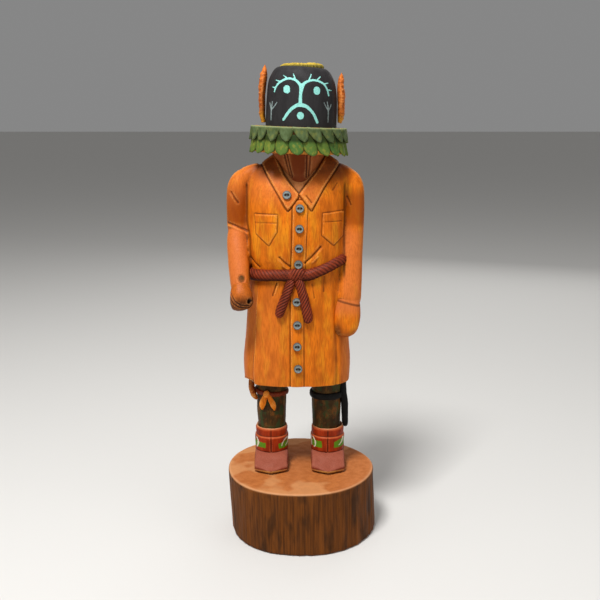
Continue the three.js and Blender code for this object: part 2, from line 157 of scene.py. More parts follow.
def subdivided(piece, levels):
    return finish_with(piece, "SUBSURF", levels=levels, render_levels=levels)


def smooth(piece):
    choose(piece)
    bpy.ops.object.shade_smooth()
    return piece


def outward(piece):
    """Merges doubles and turns every face outwards."""
    edit(piece)
    bpy.ops.mesh.remove_doubles(threshold=1e-6)
    bpy.ops.mesh.normals_make_consistent(inside=False)
    edited()
    return piece


def ease(value, start, end):
    """0 before start, 1 beyond end, and a smooth step between; start may be the larger."""
    share = np.clip((value - start) / (end - start), 0, 1)
    return share * share * (3 - 2 * share)


def between(keys, step):
    """Rings on a smooth curve through the keys, about step apart; no ring is nearer than its key."""
    keys = np.array(keys, float)
    padded = np.vstack([2 * keys[0] - keys[1], keys, 2 * keys[-1] - keys[-2]])
    rings = []
    for i in range(1, len(padded) - 2):
        a, b, c, d = padded[i - 1 : i + 3]
        parts = max(1, round(np.linalg.norm((c - b)[:3]) / step))
        for t in np.arange(parts) / parts:
            bend = (2 * a - 5 * b + 4 * c - d) * t**2 + (3 * b - a - 3 * c + d) * t**3
            rings.append(0.5 * (2 * b + (c - a) * t + bend))
    return np.array(rings + [keys[-1]])


CAP_INSETS = (0.04, 0.36, 0.3)


def tower(name, count, around):
    """A straight tower of rings, one disc extruded again and again and inset at its ends, with each vertex's
    ring, turn and share of the radius."""
    bare()
    bpy.ops.mesh.primitive_circle_add(vertices=around, radius=MM, fill_type="NGON", location=(0, 0, 0))
    piece = made(name)
    edit(piece)
    for _ in range(count - 1):
        bpy.ops.mesh.extrude_region_move(TRANSFORM_OT_translate={"value": (0, 0, MM)})
    for end in (0, count - 1):
        bpy.ops.mesh.select_all(action="DESELECT")
        edited()
        for face in piece.data.polygons:
            face.select = len(face.vertices) == around and abs(face.center.z / MM - end) < 0.5
        bpy.ops.object.mode_set(mode="EDIT")
        for inset in CAP_INSETS:
            bpy.ops.mesh.inset(thickness=inset * MM, depth=0)
    edited()
    outward(piece)
    place = points(piece)
    ring = np.clip(np.rint(place[:, 2]), 0, count - 1).astype(int)
    reach = np.minimum(1, np.hypot(place[:, 0], place[:, 1]))
    return piece, ring, np.arctan2(place[:, 1], place[:, 0]), reach


def loft(name, keys, around, step, levels, level=False):
    """A form through keys of (x, y, z, half width, half depth, squareness), its rings level or square to
    its path."""
    rings = between(keys, step)
    piece, ring, turn, reach = tower(name, len(rings), around)
    path = np.gradient(rings[:, :3], axis=0)
    if level:
        path[:] = (0, 0, 1)
    path /= np.linalg.norm(path, axis=1)[:, None]
    side = np.array([1.0, 0, 0]) - path * path[:, :1]
    side /= np.linalg.norm(side, axis=1)[:, None]
    fore = np.cross(path, side)
    wide, deep, square = rings[ring, 3], rings[ring, 4], rings[ring, 5]
    across = np.abs(np.cos(turn) / wide) ** square + np.abs(np.sin(turn) / deep) ** square
    radius = reach * across ** (-1 / square)
    out = side[ring] * (radius * np.cos(turn))[:, None] + fore[ring] * (radius * np.sin(turn))[:, None]
    put(piece, rings[ring, :3] + out)
    return smooth(subdivided(piece, levels))


def standing(x, y, square, rows):
    """The keys of a form that stands on one spot, from rows of (z, half width, half depth)."""
    return [(x, y, z, wide, deep, square) for z, wide, deep in rows]


def neighbours(piece):
    """Pairs of joined vertices, and how many joins each vertex has."""
    ends = np.empty(len(piece.data.edges) * 2, dtype=np.int64)
    piece.data.edges.foreach_get("vertices", ends)
    first, second = ends[0::2], ends[1::2]
    return first, second, np.bincount(ends, minlength=len(piece.data.vertices))


def spread(values, joins, rounds):
    """Each value becomes the mean of its neighbours', this many times."""
    first, second, count = joins
    for _ in range(rounds):
        total = np.bincount(first, values[second], len(count))
        total += np.bincount(second, values[first], len(count))
        values = 0.5 * values + 0.5 * total / count
    return values


def marked_hollows_and_ridges(piece, rounds=10, depth=0.22):
    """Keeps how deep each vertex lies in a hollow, darkened by pooled stain and by painted shade, and how
    proud on a ridge, made paler by rubbing and by a painted highlight.
    """
    joins = neighbours(piece)
    place = points(piece)
    soft = np.stack([spread(place[:, i], joins, rounds) for i in range(3)], axis=1)
    proud = np.sum((place - soft) * normals(piece), axis=1)
    # Painted shade, with pooled stain, in the hollows.
    store(piece, "wash", np.clip(-proud / depth, 0, 1))
    # A painted highlight, with rubbing, on the ridges.
    store(piece, "wear", np.clip(proud / depth, 0, 1))
    return piece


def shaded_and_stained(piece, wash, wear):
    """Adds painted shade to the darkened hollows, and scales down the paler ridge marks of rubbing and
    painted highlight.
    """
    store(piece, "wash", np.maximum(recall(piece, "wash"), wash))
    store(piece, "wear", recall(piece, "wear") * wear)
    return piece


def crisp(piece, degrees=35):
    """Smooth but for the edges sharper than this."""
    choose(piece)
    bpy.ops.object.shade_smooth_by_angle(angle=math.radians(degrees))
    return piece


def push(piece, height):
    """Moves the skin out along its normals by height, in millimetres."""
    put(piece, points(piece) + normals(piece) * height[:, None])
    return piece


def waves(places):
    """Smooth noise at each place."""
    return np.array([noise.noise(Vector(place)) for place in places])


def waves_round(turn, scale, length):
    """Smooth noise round a circle, finer with scale, that changes along the length."""
    return waves(np.stack([scale * np.cos(turn), scale * np.sin(turn), length], 1))


def knife(piece, amount, grain):
    """The faint facets that a knife leaves."""
    return push(piece, amount * waves(points(piece) / np.array(grain)))


def along(place, line):
    """Distance in the front view from each point to a line through points (x, z)."""
    flat = place[:, [0, 2]]
    best = np.full(len(flat), 1e9)
    for start, end in zip(line, line[1:]):
        start, end = np.array(start, float), np.array(end, float)
        run = end - start
        share = np.clip((flat - start) @ run / (run @ run), 0, 1)
        best = np.minimum(best, np.linalg.norm(flat - start - share[:, None] * run, axis=1))
    return best


def painted(place, strokes):
    """Signed distance in the front view to strokes through points (x, z, width), positive in the paint."""
    flat = place[:, [0, 2]]
    best = np.full(len(flat), -9.0)
    for keys in strokes:
        line = between(keys, 0.8)
        for start, end in zip(line, line[1:]):
            run = end[:2] - start[:2]
            share = np.clip((flat - start[:2]) @ run / max(run @ run, 1e-9), 0, 1)
            gap = np.linalg.norm(flat - start[:2] - share[:, None] * run, axis=1)
            best = np.maximum(best, (start[2] + share * (end[2] - start[2])) / 2 - gap)
    return best


def inside(place, outline):
    """Signed distance in the front view to a closed outline, positive inside it."""
    flat = place[:, [0, 2]]
    within = np.zeros(len(flat), bool)
    for (x0, z0), (x1, z1) in zip(outline, outline[1:] + outline[:1]):
        crosses = (z0 > flat[:, 1]) != (z1 > flat[:, 1])
        edge = x0 + (flat[:, 1] - z0) * (x1 - x0) / ((z1 - z0) or 1e-9)
        within ^= crosses & (flat[:, 0] < edge)
    distance = along(place, outline + outline[:1])
    return np.where(within, distance, -distance)


def tilted(piece):
    """Hangs a piece of the head lower on the doll's left."""
    place = points(piece)
    place[:, 2] -= HEAD_TILT * (place[:, 0] - HEAD_X)
    put(piece, place)


def joined(name, parts):
    """Several pieces as one."""
    bare()
    for part in parts:
        part.select_set(True)
    bpy.context.view_layer.objects.active = parts[0]
    bpy.ops.object.join()
    parts[0].name = name
    parts[0].data.name = name
    return parts[0]


def refined(piece, wanted):
    """Cuts in four each face whose centre and normal (both arrays) are wanted."""
    data = piece.data
    count = len(data.polygons)
    centres, facing = np.empty(count * 3), np.empty(count * 3)
    data.polygons.foreach_get("center", centres)
    data.polygons.foreach_get("normal", facing)
    picked = wanted(centres.reshape(-1, 3) / MM, facing.reshape(-1, 3))
    edit(piece)
    bpy.ops.mesh.select_all(action="DESELECT")
    edited()
    data.polygons.foreach_set("select", picked)
    bpy.ops.object.mode_set(mode="EDIT")
    bpy.ops.mesh.subdivide(number_cuts=1)
    edited()
    return piece


def hump(distance, reach):
    """1 at distance 0, falling smoothly to nothing beyond reach."""
    return np.exp(-((distance / reach) ** 2) * 2)


# ---- the view, the ground and the light ----


def view_and_light():
    scene = bpy.context.scene
    scene.view_settings.view_transform = "Standard"
    bpy.ops.object.camera_add(location=(-0.0015, -0.498, 0.250), rotation=(math.radians(77.9), 0, 0))
    camera = bpy.context.object
    camera.data.lens = 51.12
    camera.data.sensor_width = 36
    camera.data.clip_start = 0.01
    scene.camera = camera
    for name, place, size, power in (
        ("window", (-0.22, -0.44, 1.0), 0.24, 12.0),
        ("room_left", (-0.8, -0.45, 0.4), 0.70, 1.0),
        ("room_right", (0.8, -0.5, 0.45), 0.70, 1.5),
        ("ceiling", (0.0, 0.25, 0.95), 0.80, 0.8),
        ("behind", (0.3, 0.8, 0.5), 0.70, 1.2),
    ):
        bpy.ops.object.light_add(type="AREA", location=place)
        light = bpy.context.object
        light.name = name
        light.data.size = size
        light.data.energy = power
        light.rotation_euler = (Vector((0, 0, 0.16)) - Vector(place)).to_track_quat("-Z", "Y").to_euler()
    world = bpy.data.worlds.new("studio")
    scene.world = world
    world.use_nodes = True
    world.node_tree.nodes["Background"].inputs["Color"].default_value = (0.80, 0.80, 0.80, 1)
    world.node_tree.nodes["Background"].inputs["Strength"].default_value = 0.3


def ground():
    bare()
    bpy.ops.mesh.primitive_plane_add(size=30, location=(0, 0, 0))
    return made("ground")


# ---- the slab ----


def slab():
    """A slice of a branch, nearly round and leaning a little, with paler rims, partly sanded and partly a
    painted highlight, and a ridged side.
    """
    height = SLAB_TOP
    radius = 45
    edge = 1.2
    keys = [(0, -edge), (0.35, -0.45), (edge, 0), (3, 0)]
    rows = keys + [(z, 0) for z in range(6, int(height) - 4, 3)]
    rows += [(height - z, inset) for z, inset in reversed(keys)]
    rows = [(0, 0, z, radius + inset, radius + inset, 2) for z, inset in rows]
    piece = loft("slab", rows, 80, 90, 2, level=True)
    place = points(piece)
    turn = np.arctan2(place[:, 1], place[:, 0])
    reach = np.hypot(place[:, 0], place[:, 1]) / radius
    wobble = 0.5 * np.cos(3 * turn + 0.6) + 0.35 * np.cos(5 * turn - 1.1)
    place[:, :2] += (np.clip(reach, 0, 1) * wobble)[:, None] * np.stack([np.cos(turn), np.sin(turn)], 1)
    place[:, 0] += 1 - 2 * place[:, 2] / height
    low, high = place.min(0), place.max(0)
    place[:, :2] -= (low + high)[:2] / 2
    put(piece, place)
    side = ease(reach, 0.93, 0.99)
    ridge = waves_round(turn, 14, place[:, 2] / 60)
    fine = waves_round(turn, 34, place[:, 2] / 25)
    below_rim = ease(place[:, 2], height - 0.5, height - 6)
    push(piece, side * below_rim * (0.5 * ridge + 0.16 * fine - 0.3))
    place = points(piece)
    place[:, 2] = np.clip(place[:, 2], 0, height)
    put(piece, place)
    store(piece, "side", side * ease(place[:, 2], height - 0.1, height - 1.0))
    # A paler band along the top rim, sanded and partly a painted highlight.
    store(piece, "rim", hump(place[:, 2] - height + 0.3, 0.6) * ease(reach, 0.95, 0.985))
    return marked_hollows_and_ridges(piece, 6, 0.2)


# ---- the coat and sleeves ----

COAT = [
    (-3.5, 4, 91, 31.8, 21.3, 2.7), (-3.5, 4, 95, 32, 21.5, 2.7), (-3.5, 4, 106, 32.6, 22, 2.7),
    (-3.3, 4, 120, 31.4, 21.8, 2.6), (-3.2, 4, 136, 30.4, 21.4, 2.6), (-3.2, 4, 150, 29.2, 21, 2.5),
    (-3.2, 4, 158, 28.2, 20.2, 2.5), (-3.2, 4, 163, 27.6, 19.4, 2.5), (-3.4, 4, 168.5, 28.6, 21.4, 2.5),
    (-3.6, 4, 178, 28.8, 21.8, 2.5), (-3.6, 4, 190, 28.4, 21.4, 2.5), (-3.6, 4, 202, 28.6, 19.8, 2.5),
    (-3, 4.6, 212, 29.4, 17, 2.4), (-2.2, 5, 217, 30, 14.6, 2.3), (-1.6, 5, 220, 28, 13, 2.2),
    (-1, 5, 223, 24, 12, 2.2), (-0.9, 5, 226, 19.5, 11, 2.1), (-0.9, 5, 229, 15, 10, 2.1),
]
RIGHT_UPPER_ARM = [
    (-38.4, 5.6, 181.6, 4.2, 4.6, 2.2), (-38.4, 5.6, 184, 5.8, 6.6, 2.4),
    (-38.5, 5.4, 188, 6.1, 7.2, 2.4), (-38.5, 5, 203, 6.2, 7.2, 2.3), (-37.9, 5, 210.6, 6.2, 7.2, 2.2),
    (-36.6, 5, 215, 5.4, 6.4, 2.1), (-34.8, 5, 218, 3.4, 4.6, 2),
]
RIGHT_FOREARM = [
    (-35.6, -16.4, 150, 5.2, 5.4, 2.2), (-35.9, -14, 154, 5.7, 5.9, 2.3), (-37.6, -5, 169, 6.2, 6.4, 2.3),
    (-38.5, 1.6, 180.6, 6.1, 6.4, 2.3), (-38.5, 4, 184.8, 5.7, 6, 2.2), (-38.4, 5.6, 187.6, 3.6, 4, 2),
]
LEFT_ARM = [
    (26.1, -7, 144.5, 7.8, 6.8, 2.7), (26.7, -6.7, 146.8, 7.9, 7, 2.7), (27.4, -5.8, 151, 7.3, 6.9, 2.6),
    (27.8, -4.2, 157, 7.3, 6.8, 2.4), (27.9, -1.9, 166, 7.4, 6.9, 2.4), (28.5, 2, 178, 7.3, 7.1, 2.4),
    (29.2, 4, 185, 6.9, 7.2, 2.3), (30.2, 5, 192, 6.2, 7.2, 2.3), (30.3, 5, 203, 6.2, 7.2, 2.3),
    (29.8, 5, 210.8, 6.2, 7.2, 2.2), (28.6, 5, 215.4, 5.4, 6.4, 2.1), (26.8, 5, 218.4, 3.4, 4.6, 2),
]
RIGHT_SHOULDER = [
    (-37.2, 5, 209.8, 5, 6.2, 2.1), (-35.6, 5, 213.2, 5.4, 6.4, 2.1), (-32.4, 5, 216.8, 5.2, 6.4, 2.1),
    (-28.6, 5, 219.8, 4, 5.6, 2.1), (-25, 5, 222.4, 2.2, 3.6, 2),
]
LEFT_SHOULDER = [
    (29.4, 5, 210.2, 5, 6.2, 2.1), (28, 5, 213.6, 5.4, 6.4, 2.1), (25, 5, 217.2, 5.2, 6.4, 2.1),
    (22, 5, 220.2, 4, 5.6, 2.1), (19.2, 5, 222.6, 2.2, 3.6, 2),
]
WEBS = [
    [
        (-30.8, 0.5, 154, 1.6, 3, 2), (-31, 0.5, 160, 2.2, 4.5, 2), (-31.4, 1, 170, 2.3, 5, 2),
        (-31.9, 3.4, 182, 2.3, 6, 2), (-32.4, 4.6, 193, 1.8, 6, 2), (-32.4, 4.6, 205, 1.7, 5, 2),
        (-31.8, 4.8, 217, 1.6, 4, 2),
    ],
    [
        (24.2, 1.5, 154, 1.4, 3, 2), (24.4, 2.5, 170, 1.6, 4, 2), (24.6, 4, 182, 1.7, 5, 2),
        (24.8, 4.6, 204, 1.7, 5, 2), (24.4, 4.8, 217, 1.6, 4, 2),
    ],
]
COLLAR_RIGHT = [
    (-2.3, 207.4), (-7.5, 213.2), (-11.1, 218.4), (-14, 225), (-17, 231), (-27, 231), (-19.5, 216.4),
    (-14.6, 208.4), (-9.9, 200.4), (-8.4, 198.4), (-6.3, 200.7), (-2.6, 205.6),
]
COLLAR_LEFT = [
    (-1.9, 207.2), (0.9, 210.9), (5, 216.1), (8, 219.5), (11.5, 225), (14, 231), (26, 231), (17.7, 219.2),
    (14.6, 214.8), (11.6, 210.4), (8, 203.9), (5, 198.6),
]
COLLAR_BEHIND = [(-22, 212), (-25, 217), (-20, 232), (18, 232), (23, 217), (20, 212)]
THROAT = [(-2.1, 207.6), (-7.3, 213.5), (-10.9, 218.7), (-14, 226), (-14, 232), (12, 232), (11.2, 226)]
THROAT += [(7.8, 219.8), (4.8, 216.4), (0.7, 211.2)]
PLACKET = [(-5.6, 204), (-5.7, 194), (-6, 179.5), (-6.4, 167), (-6.9, 150), (-6.9, 92), (0.6, 92), (0.4, 128)]
PLACKET += [(0.5, 142.6), (1.5, 170), (2.1, 185.5), (2.6, 198.4), (2.4, 204)]
POCKET_RIGHT = [(-27.6, 195.8), (-14.4, 195.9), (-14.8, 186.2), (-19.4, 178.5), (-26.6, 184.8)]
POCKET_LEFT = [(11.6, 196.6), (24.4, 197.4), (23.2, 183), (17.9, 178.4), (11.2, 184.4)]
POCKET_FLAPS = [[(-27.2, 191), (-14.8, 191.3)], [(12, 191.9), (24, 191.6)]]
# Each crease is a line through points (x, z), its depth and its reach to each side.
CREASES = [
    ([(-13.2, 171.6), (-10.6, 168.8), (-7.4, 166.4)], 0.9, 0.9),
    ([(1.4, 168.6), (5.7, 172.4), (10.4, 177.6)], 1.0, 1.0),
    ([(-30.2, 170), (-27.5, 167), (-25.2, 165.2)], 0.7, 0.9),
    ([(2.0, 206.4), (5.0, 202.7)], 0.55, 0.55),
    ([(-15.0, 156.4), (-17.4, 149.2)], 0.5, 0.7),
    ([(-9.6, 157), (-11.8, 150.6)], 0.4, 0.7),
    ([(5.4, 156), (6.8, 148)], 0.35, 0.8),
    ([(12.6, 160), (12.2, 151.5)], 0.35, 0.8),
    ([(-41.6, 207.6), (-39.4, 204.2), (-37.4, 201.6)], 0.6, 0.9),
    ([(26.0, 205), (28.0, 200.4)], 0.5, 0.7),
    ([(17.4, 209.6), (19.8, 213.2)], 0.4, 0.9),
    ([(-44.5, 189.8), (-43, 189.3), (-39.1, 188.2), (-34.8, 186.2), (-31.5, 184.8)], 0.55, 0.8),
]
# Ridges stand out as creases go in.
RIDGES = [
    ([(-11.2, 166.6), (-8.4, 164.6)], 0.5, 0.9),
    ([(5.4, 168.6), (8.8, 172)], 0.45, 0.9),
    ([(-13.9, 156.6), (-16.2, 149.6)], 0.4, 0.8),
    ([(-8.2, 157), (-10.6, 150.4)], 0.35, 0.8),
    ([(-44, 188), (-42.6, 187.6), (-39, 186.5), (-35.2, 184.6), (-32.2, 183.2)], 0.4, 0.8),
]
LAP_TURN = -57
PLEAT_TURN = 54
PEG = (-35.1, 159.6)


def body():
    """The coat with both sleeves, carved from one block."""
    parts = [
        loft("coat", COAT, 44, 4.4, 2, level=True),
        loft("sleeve_right_upper", RIGHT_UPPER_ARM, 28, 4, 2),
        loft("sleeve_right_lower", RIGHT_FOREARM, 28, 4, 2),
        loft("sleeve_left", LEFT_ARM, 28, 4, 2),
        loft("shoulder_right", RIGHT_SHOULDER, 24, 3, 2),
        loft("shoulder_left", LEFT_SHOULDER, 24, 3, 2),
    ]
    parts += [loft("web", keys, 16, 3, 1) for keys in WEBS]
    piece = joined("coat", parts)
    finish_with(piece, "REMESH", mode="VOXEL", voxel_size=0.9 * MM, adaptivity=0)
    finish_with(piece, "SMOOTH", factor=0.5, iterations=5)
    cut_level(piece, HEM)
    refined(piece, lambda centre, facing: (facing[:, 1] < -0.5) & (np.abs(centre[:, 0] + 4) < 42))
    smooth(piece)
    place, facing = points(piece), normals(piece)
    x, y, z = place.T
    front = ease(-facing[:, 1], 0.05, 0.3) * ease(y, 6, 2)
    torso = front * ease(x, -31.5, -30) * ease(x, 25.5, 24.2)
    lift = np.zeros(len(place))

    flaps = np.maximum(inside(place, COLLAR_RIGHT), inside(place, COLLAR_LEFT))
    opening = inside(place, THROAT)
    strip = inside(place, PLACKET)
    pocket = np.maximum(inside(place, POCKET_RIGHT), inside(place, POCKET_LEFT))
    strip_lift = 0.35 * ease(strip, -0.3, 0.3) - 0.3 * hump(strip + 0.35, 0.5) * ease(x, 1, -3)
    strip_lift -= 0.18 * hump(strip + 0.35, 0.5)
    lift += torso * strip_lift * ease(flaps, 0.3, -0.4)
    lift += torso * (0.4 * ease(pocket, -0.4, 0.4) - 0.22 * hump(pocket + 0.4, 0.5))
    flap_lines = np.minimum(*(along(place, line) for line in POCKET_FLAPS))
    lift -= torso * 0.28 * hump(flap_lines, 0.5)
    lift += torso * (1.1 * ease(flaps, -0.3, 0.35) - 0.45 * hump(flaps + 0.45, 0.6))
    lift -= torso * 1.2 * ease(opening, -0.3, 0.4)
    peg = np.where(x < -28, np.hypot(x - PEG[0], z - PEG[1]), 9)
    lift -= front * (0.35 * hump(peg - 2.1, 0.4) + 0.3 * ease(peg, 2, 1.4))
    for line, depth, reach in CREASES:
        lift -= front * depth * hump(along(place, line), reach)
    for line, depth, reach in RIDGES:
        lift += front * depth * hump(along(place, line), reach)
    behind = inside(place, COLLAR_BEHIND)
    lift += ease(y, 3, 5) * ease(facing[:, 1], 0, 0.2) * 1.1 * ease(behind, -0.4, 0.4)

    turn = np.degrees(np.arctan2(x + 3.3, -(y - 4)))
    skirt = ease(z, 156, 138)
    under = ease(turn, LAP_TURN, LAP_TURN - 1.2) * (1 - ease(turn, -66, -96))
    pleat = np.exp(-(((turn - PLEAT_TURN) / 2.6) ** 2))
    back = ease(np.abs(turn), 95, 125) * np.cos(np.radians(9 * turn))
    soft_folds = 0.25 * np.cos(np.radians(14 * turn)) * ease(np.abs(turn), 100, 60)
    lift += skirt * (0.8 * back - 1.5 * under - 0.8 * pleat + soft_folds)
    push(piece, lift)
    knife(piece, 0.2, (6, 6, 18))
    place = points(piece)
    place[:, 2] = np.where(z < HEM + 0.05, HEM, place[:, 2]) + 2 * under * ease(z, HEM + 9, HEM)
    place[:, 0] -= 1.2 * under * ease(z, 128, HEM)
    put(piece, place)
    crisp(piece, 48)
    marked_hollows_and_ridges(piece, 12, 0.24)
    # Painted shade in the creases where the sleeves meet the coat, with the ridge highlight taken out there.
    crease_x = -30.4 - 2 * ease(z, 180, 192)
    armpits = np.maximum(hump(x - crease_x, 1.2), hump(x - 24.3, 1.1))
    armpits *= ease(z, 156, 162) * ease(z, 216, 211)
    shaded_and_stained(piece, 0.8 * armpits * ease(-facing[:, 1], -0.2, 0.2), 1 - np.clip(1.5 * armpits, 0, 1))
    store(piece, "skin", torso * ease(opening, -0.1, 0.3))
    # Painted shade on the upper sleeves and below the ruff, and a darker brown on the side panels and above
    # the fist.
    store(piece, "shade", shading_of_coat(place, turn))
    store(piece, "blush", blush_of_coat(place, flaps))
    # A painted shadow of the ruff on the collar and shoulders.
    store(piece, "ruff_shadow", 0.8 * ease(z, 212, 221) * ease(np.abs(x + 2), 31, 21))
    store(piece, "peg", front * ease(peg, 2.1, 1.6))
    # Painted shade on the underside of the coat's lower edge.
    store(piece, "hem_underside_shade", ease(facing[:, 2], -0.4, -0.8) * ease(z, 99, 97))
    return piece


def cut_level(piece, height):
    """Cuts a piece off level at its foot and closes it."""
    edit(piece)
    bpy.ops.mesh.bisect(
        plane_co=(0, 0, height * MM), plane_no=(0, 0, 1), use_fill=True, clear_inner=True, threshold=1e-6
    )
    edited()


def shading_of_coat(place, turn):
    """Where the coat is painted darker and browner: painted shade on the upper sleeves and under the ruff,
    and darker on the side panels and above the fist.
    """
    x, y, z = place.T
    upper_right = ease(x, -31, -34) * ease(z, 187, 191) * ease(z, 214, 204)
    upper_left = ease(x, 23.5, 26) * ease(z, 186, 190) * ease(z, 212, 204) * 0.8
    panel = ease(turn, LAP_TURN, LAP_TURN - 3) * ease(turn, -120, -110) * ease(z, 160, 150) * 0.25
    left_side = ease(x, 16, 24) * ease(z, 150, 140) * 0.1
    under_ruff = ease(z, 211, 222) * ease(np.abs(x + 2), 33, 25)
    wrist = ease(x, -29, -31) * ease(z, 170, 152) * ease(z, 143, 148) * ease(y, 4, 0)
    return np.clip(np.maximum.reduce([upper_right, upper_left, panel, left_side, under_ruff, wrist]), 0, 1)


def blush_of_coat(place, flaps):
    """Where the stain is thin and rosy."""
    x, _, z = place.T
    forearm = ease(x, -31, -34) * ease(z, 190, 186)
    sleeve_end = ease(x, 22, 25) * ease(z, 190, 182) * 0.7
    yoke = ease(z, 196, 210) * ease(x, 10, -10) * 0.5
    collar = 0.6 * ease(flaps, -0.2, 0.4)
    skirt = ease(z, 160, 150) * ease(x, 0, -20) * 0.35
    return np.clip(np.maximum.reduce([forearm, sleeve_end, yoke, collar, skirt]), 0, 1)


# ---- hands ----

RIGHT_FIST = [
    (-34.4, -18.6, 141.4, 3.2, 3.6, 2.2), (-34.6, -18.5, 142.4, 5.4, 5.8, 2.6),
    (-35, -18.3, 144.8, 6.5, 7, 2.7), (-35.3, -17.8, 148.8, 6.5, 7, 2.6),
    (-35.7, -16.6, 152.6, 5.7, 6, 2.3), (-36, -15.4, 155.6, 4.8, 5, 2.1),
]
LEFT_HAND = [
    (25, -10.2, 123.6, 2.6, 2.6, 2.2), (25, -10.2, 124.8, 4.9, 4.6, 2.4),
    (25.2, -9.9, 128.4, 7.1, 6, 2.6), (26.2, -9, 136, 7.9, 6.5, 2.8), (26.6, -7.9, 143, 7.4, 6.2, 2.8),
    (26.9, -7, 147.6, 6.4, 5.6, 2.6), (27.2, -6, 150, 5.6, 5, 2.2),
]
FINGER_CUTS = [
    [(-41.8, 149.6), (-39.6, 146.4), (-36.2, 144.2), (-31, 143.6)],
    [(-41, 151.4), (-38.6, 147.8), (-35.2, 145.6), (-30.6, 145)],
]


def fist():
    """The right hand, closed, with its fingers wrapped round and a bore at its middle."""
    piece = loft("fist", RIGHT_FIST, 40, 1.6, 2)
    place, facing = points(piece), normals(piece)
    front = ease(-facing[:, 1], 0, 0.35)
    lift = np.zeros(len(place))
    for line in FINGER_CUTS:
        lift -= front * 0.5 * hump(along(place, line), 0.5)
    bore = np.hypot(place[:, 0] + 30.2, (place[:, 2] - 147.4) / 1.25)
    lift -= front * 2.4 * ease(bore, 1.5, 0.7)
    push(piece, lift)
    knife(piece, 0.15, (3, 3, 5))
    # Painted shade in the bore, near black.
    store(piece, "bore", front * ease(bore, 1.8, 1.1))
    # The fist's upper part takes the sleeve's colour, but its downward faces keep the dark base as painted
    # shade.
    store(piece, "sleeve", ease(place[:, 2], 146.5, 152.5) * ease(facing[:, 2], -0.4, 0.1))
    return marked_hollows_and_ridges(piece, 8, 0.14)


def mitten():
    """The left hand, hanging open in a mitten shape."""
    piece = loft("mitten", LEFT_HAND, 40, 1.6, 2)
    place, facing = points(piece), normals(piece)
    thumb = along(place, [(20.6, 143), (19.8, 136), (21.4, 129.5)])
    front = ease(-facing[:, 1], 0, 0.35)
    push(piece, -0.2 * front * hump(thumb, 1.2))
    knife(piece, 0.35, (6, 6, 9))
    # Painted shade low on the mitten and on its outer side.
    store(piece, "shade", np.clip(ease(place[:, 2], 131, 123) + 0.6 * ease(place[:, 0], 31, 35), 0, 1))
    store(piece, "blush", ease(place[:, 2], 134, 142))
    marked_hollows_and_ridges(piece, 8, 0.14)
    # Painted shade along the palm's lower edge and in the crease at the cuff, without the ridge highlight
    # there.
    palm_edge = ease(place[:, 0], 24.5, 20.5) * ease(place[:, 2], 136, 128) * ease(-facing[:, 1], -0.3, 0.3)
    cuff = hump(place[:, 2] - 144.2 + 0.25 * (place[:, 0] - 26.1), 0.9)
    return shaded_and_stained(piece, np.maximum(0.75 * palm_edge, cuff), 1 - cuff)


# ---- the rope belt ----

TAILS = [
    [
        (-13.7, -17.9, 137.2, 1.3, 1.3, 2), (-13.5, -18.1, 138, 2.2, 2.2, 2),
        (-12.6, -18.2, 141.5, 2.7, 2.6, 2), (-9.4, -17.9, 150, 2.6, 2.5, 2),
        (-7, -17.2, 156.5, 2.5, 2.4, 2), (-6, -15.4, 160.5, 2.2, 2.2, 2),
    ],
    [
        (3.4, -18.2, 133.8, 1.4, 1.3, 2), (3.2, -18.4, 134.7, 2.3, 2.2, 2),
        (2.8, -18.5, 138.5, 2.9, 2.7, 2), (0.7, -18.2, 148, 2.7, 2.6, 2),
        (-1.7, -17.4, 156.5, 2.6, 2.5, 2), (-2.6, -15.4, 160.5, 2.3, 2.2, 2),
    ],
]
KNOT = [
    (0, 0, -5.6, 1.6, 1.4, 2), (0, 0, -4.4, 3, 2.8, 2), (0, 0, 0, 3.7, 3.5, 2), (0, 0, 4.4, 3, 2.8, 2),
    (0, 0, 5.6, 1.6, 1.4, 2),
]
STRANDS = 8
LAY = 17


def strand(round_turn, length):
    """How proud a laid strand stands (0 to 1), by the turn round the rope and the length along it."""
    phase = STRANDS * (round_turn / (2 * np.pi) + length / LAY)
    return np.abs(np.sin(np.pi * phase)) ** 0.7


def laid(piece, proud):
    """Dark between a rope's strands with pooled stain and painted shade, and paler along them from rubbing
    and a painted highlight.
    """
    store(piece, "wash", np.clip(1.5 - 2.2 * proud, 0, 1))
    store(piece, "wear", np.clip(3 * proud - 2.1, 0, 1))
    return piece


def belt_line(turn):
    """The belt's way round the waist, a rounded rectangle."""
    wide, deep = np.cos(turn), np.sin(turn)
    return 28.2 * np.sign(wide) * np.abs(wide) ** 0.8, 20.2 * np.sign(deep) * np.abs(deep) ** 0.8


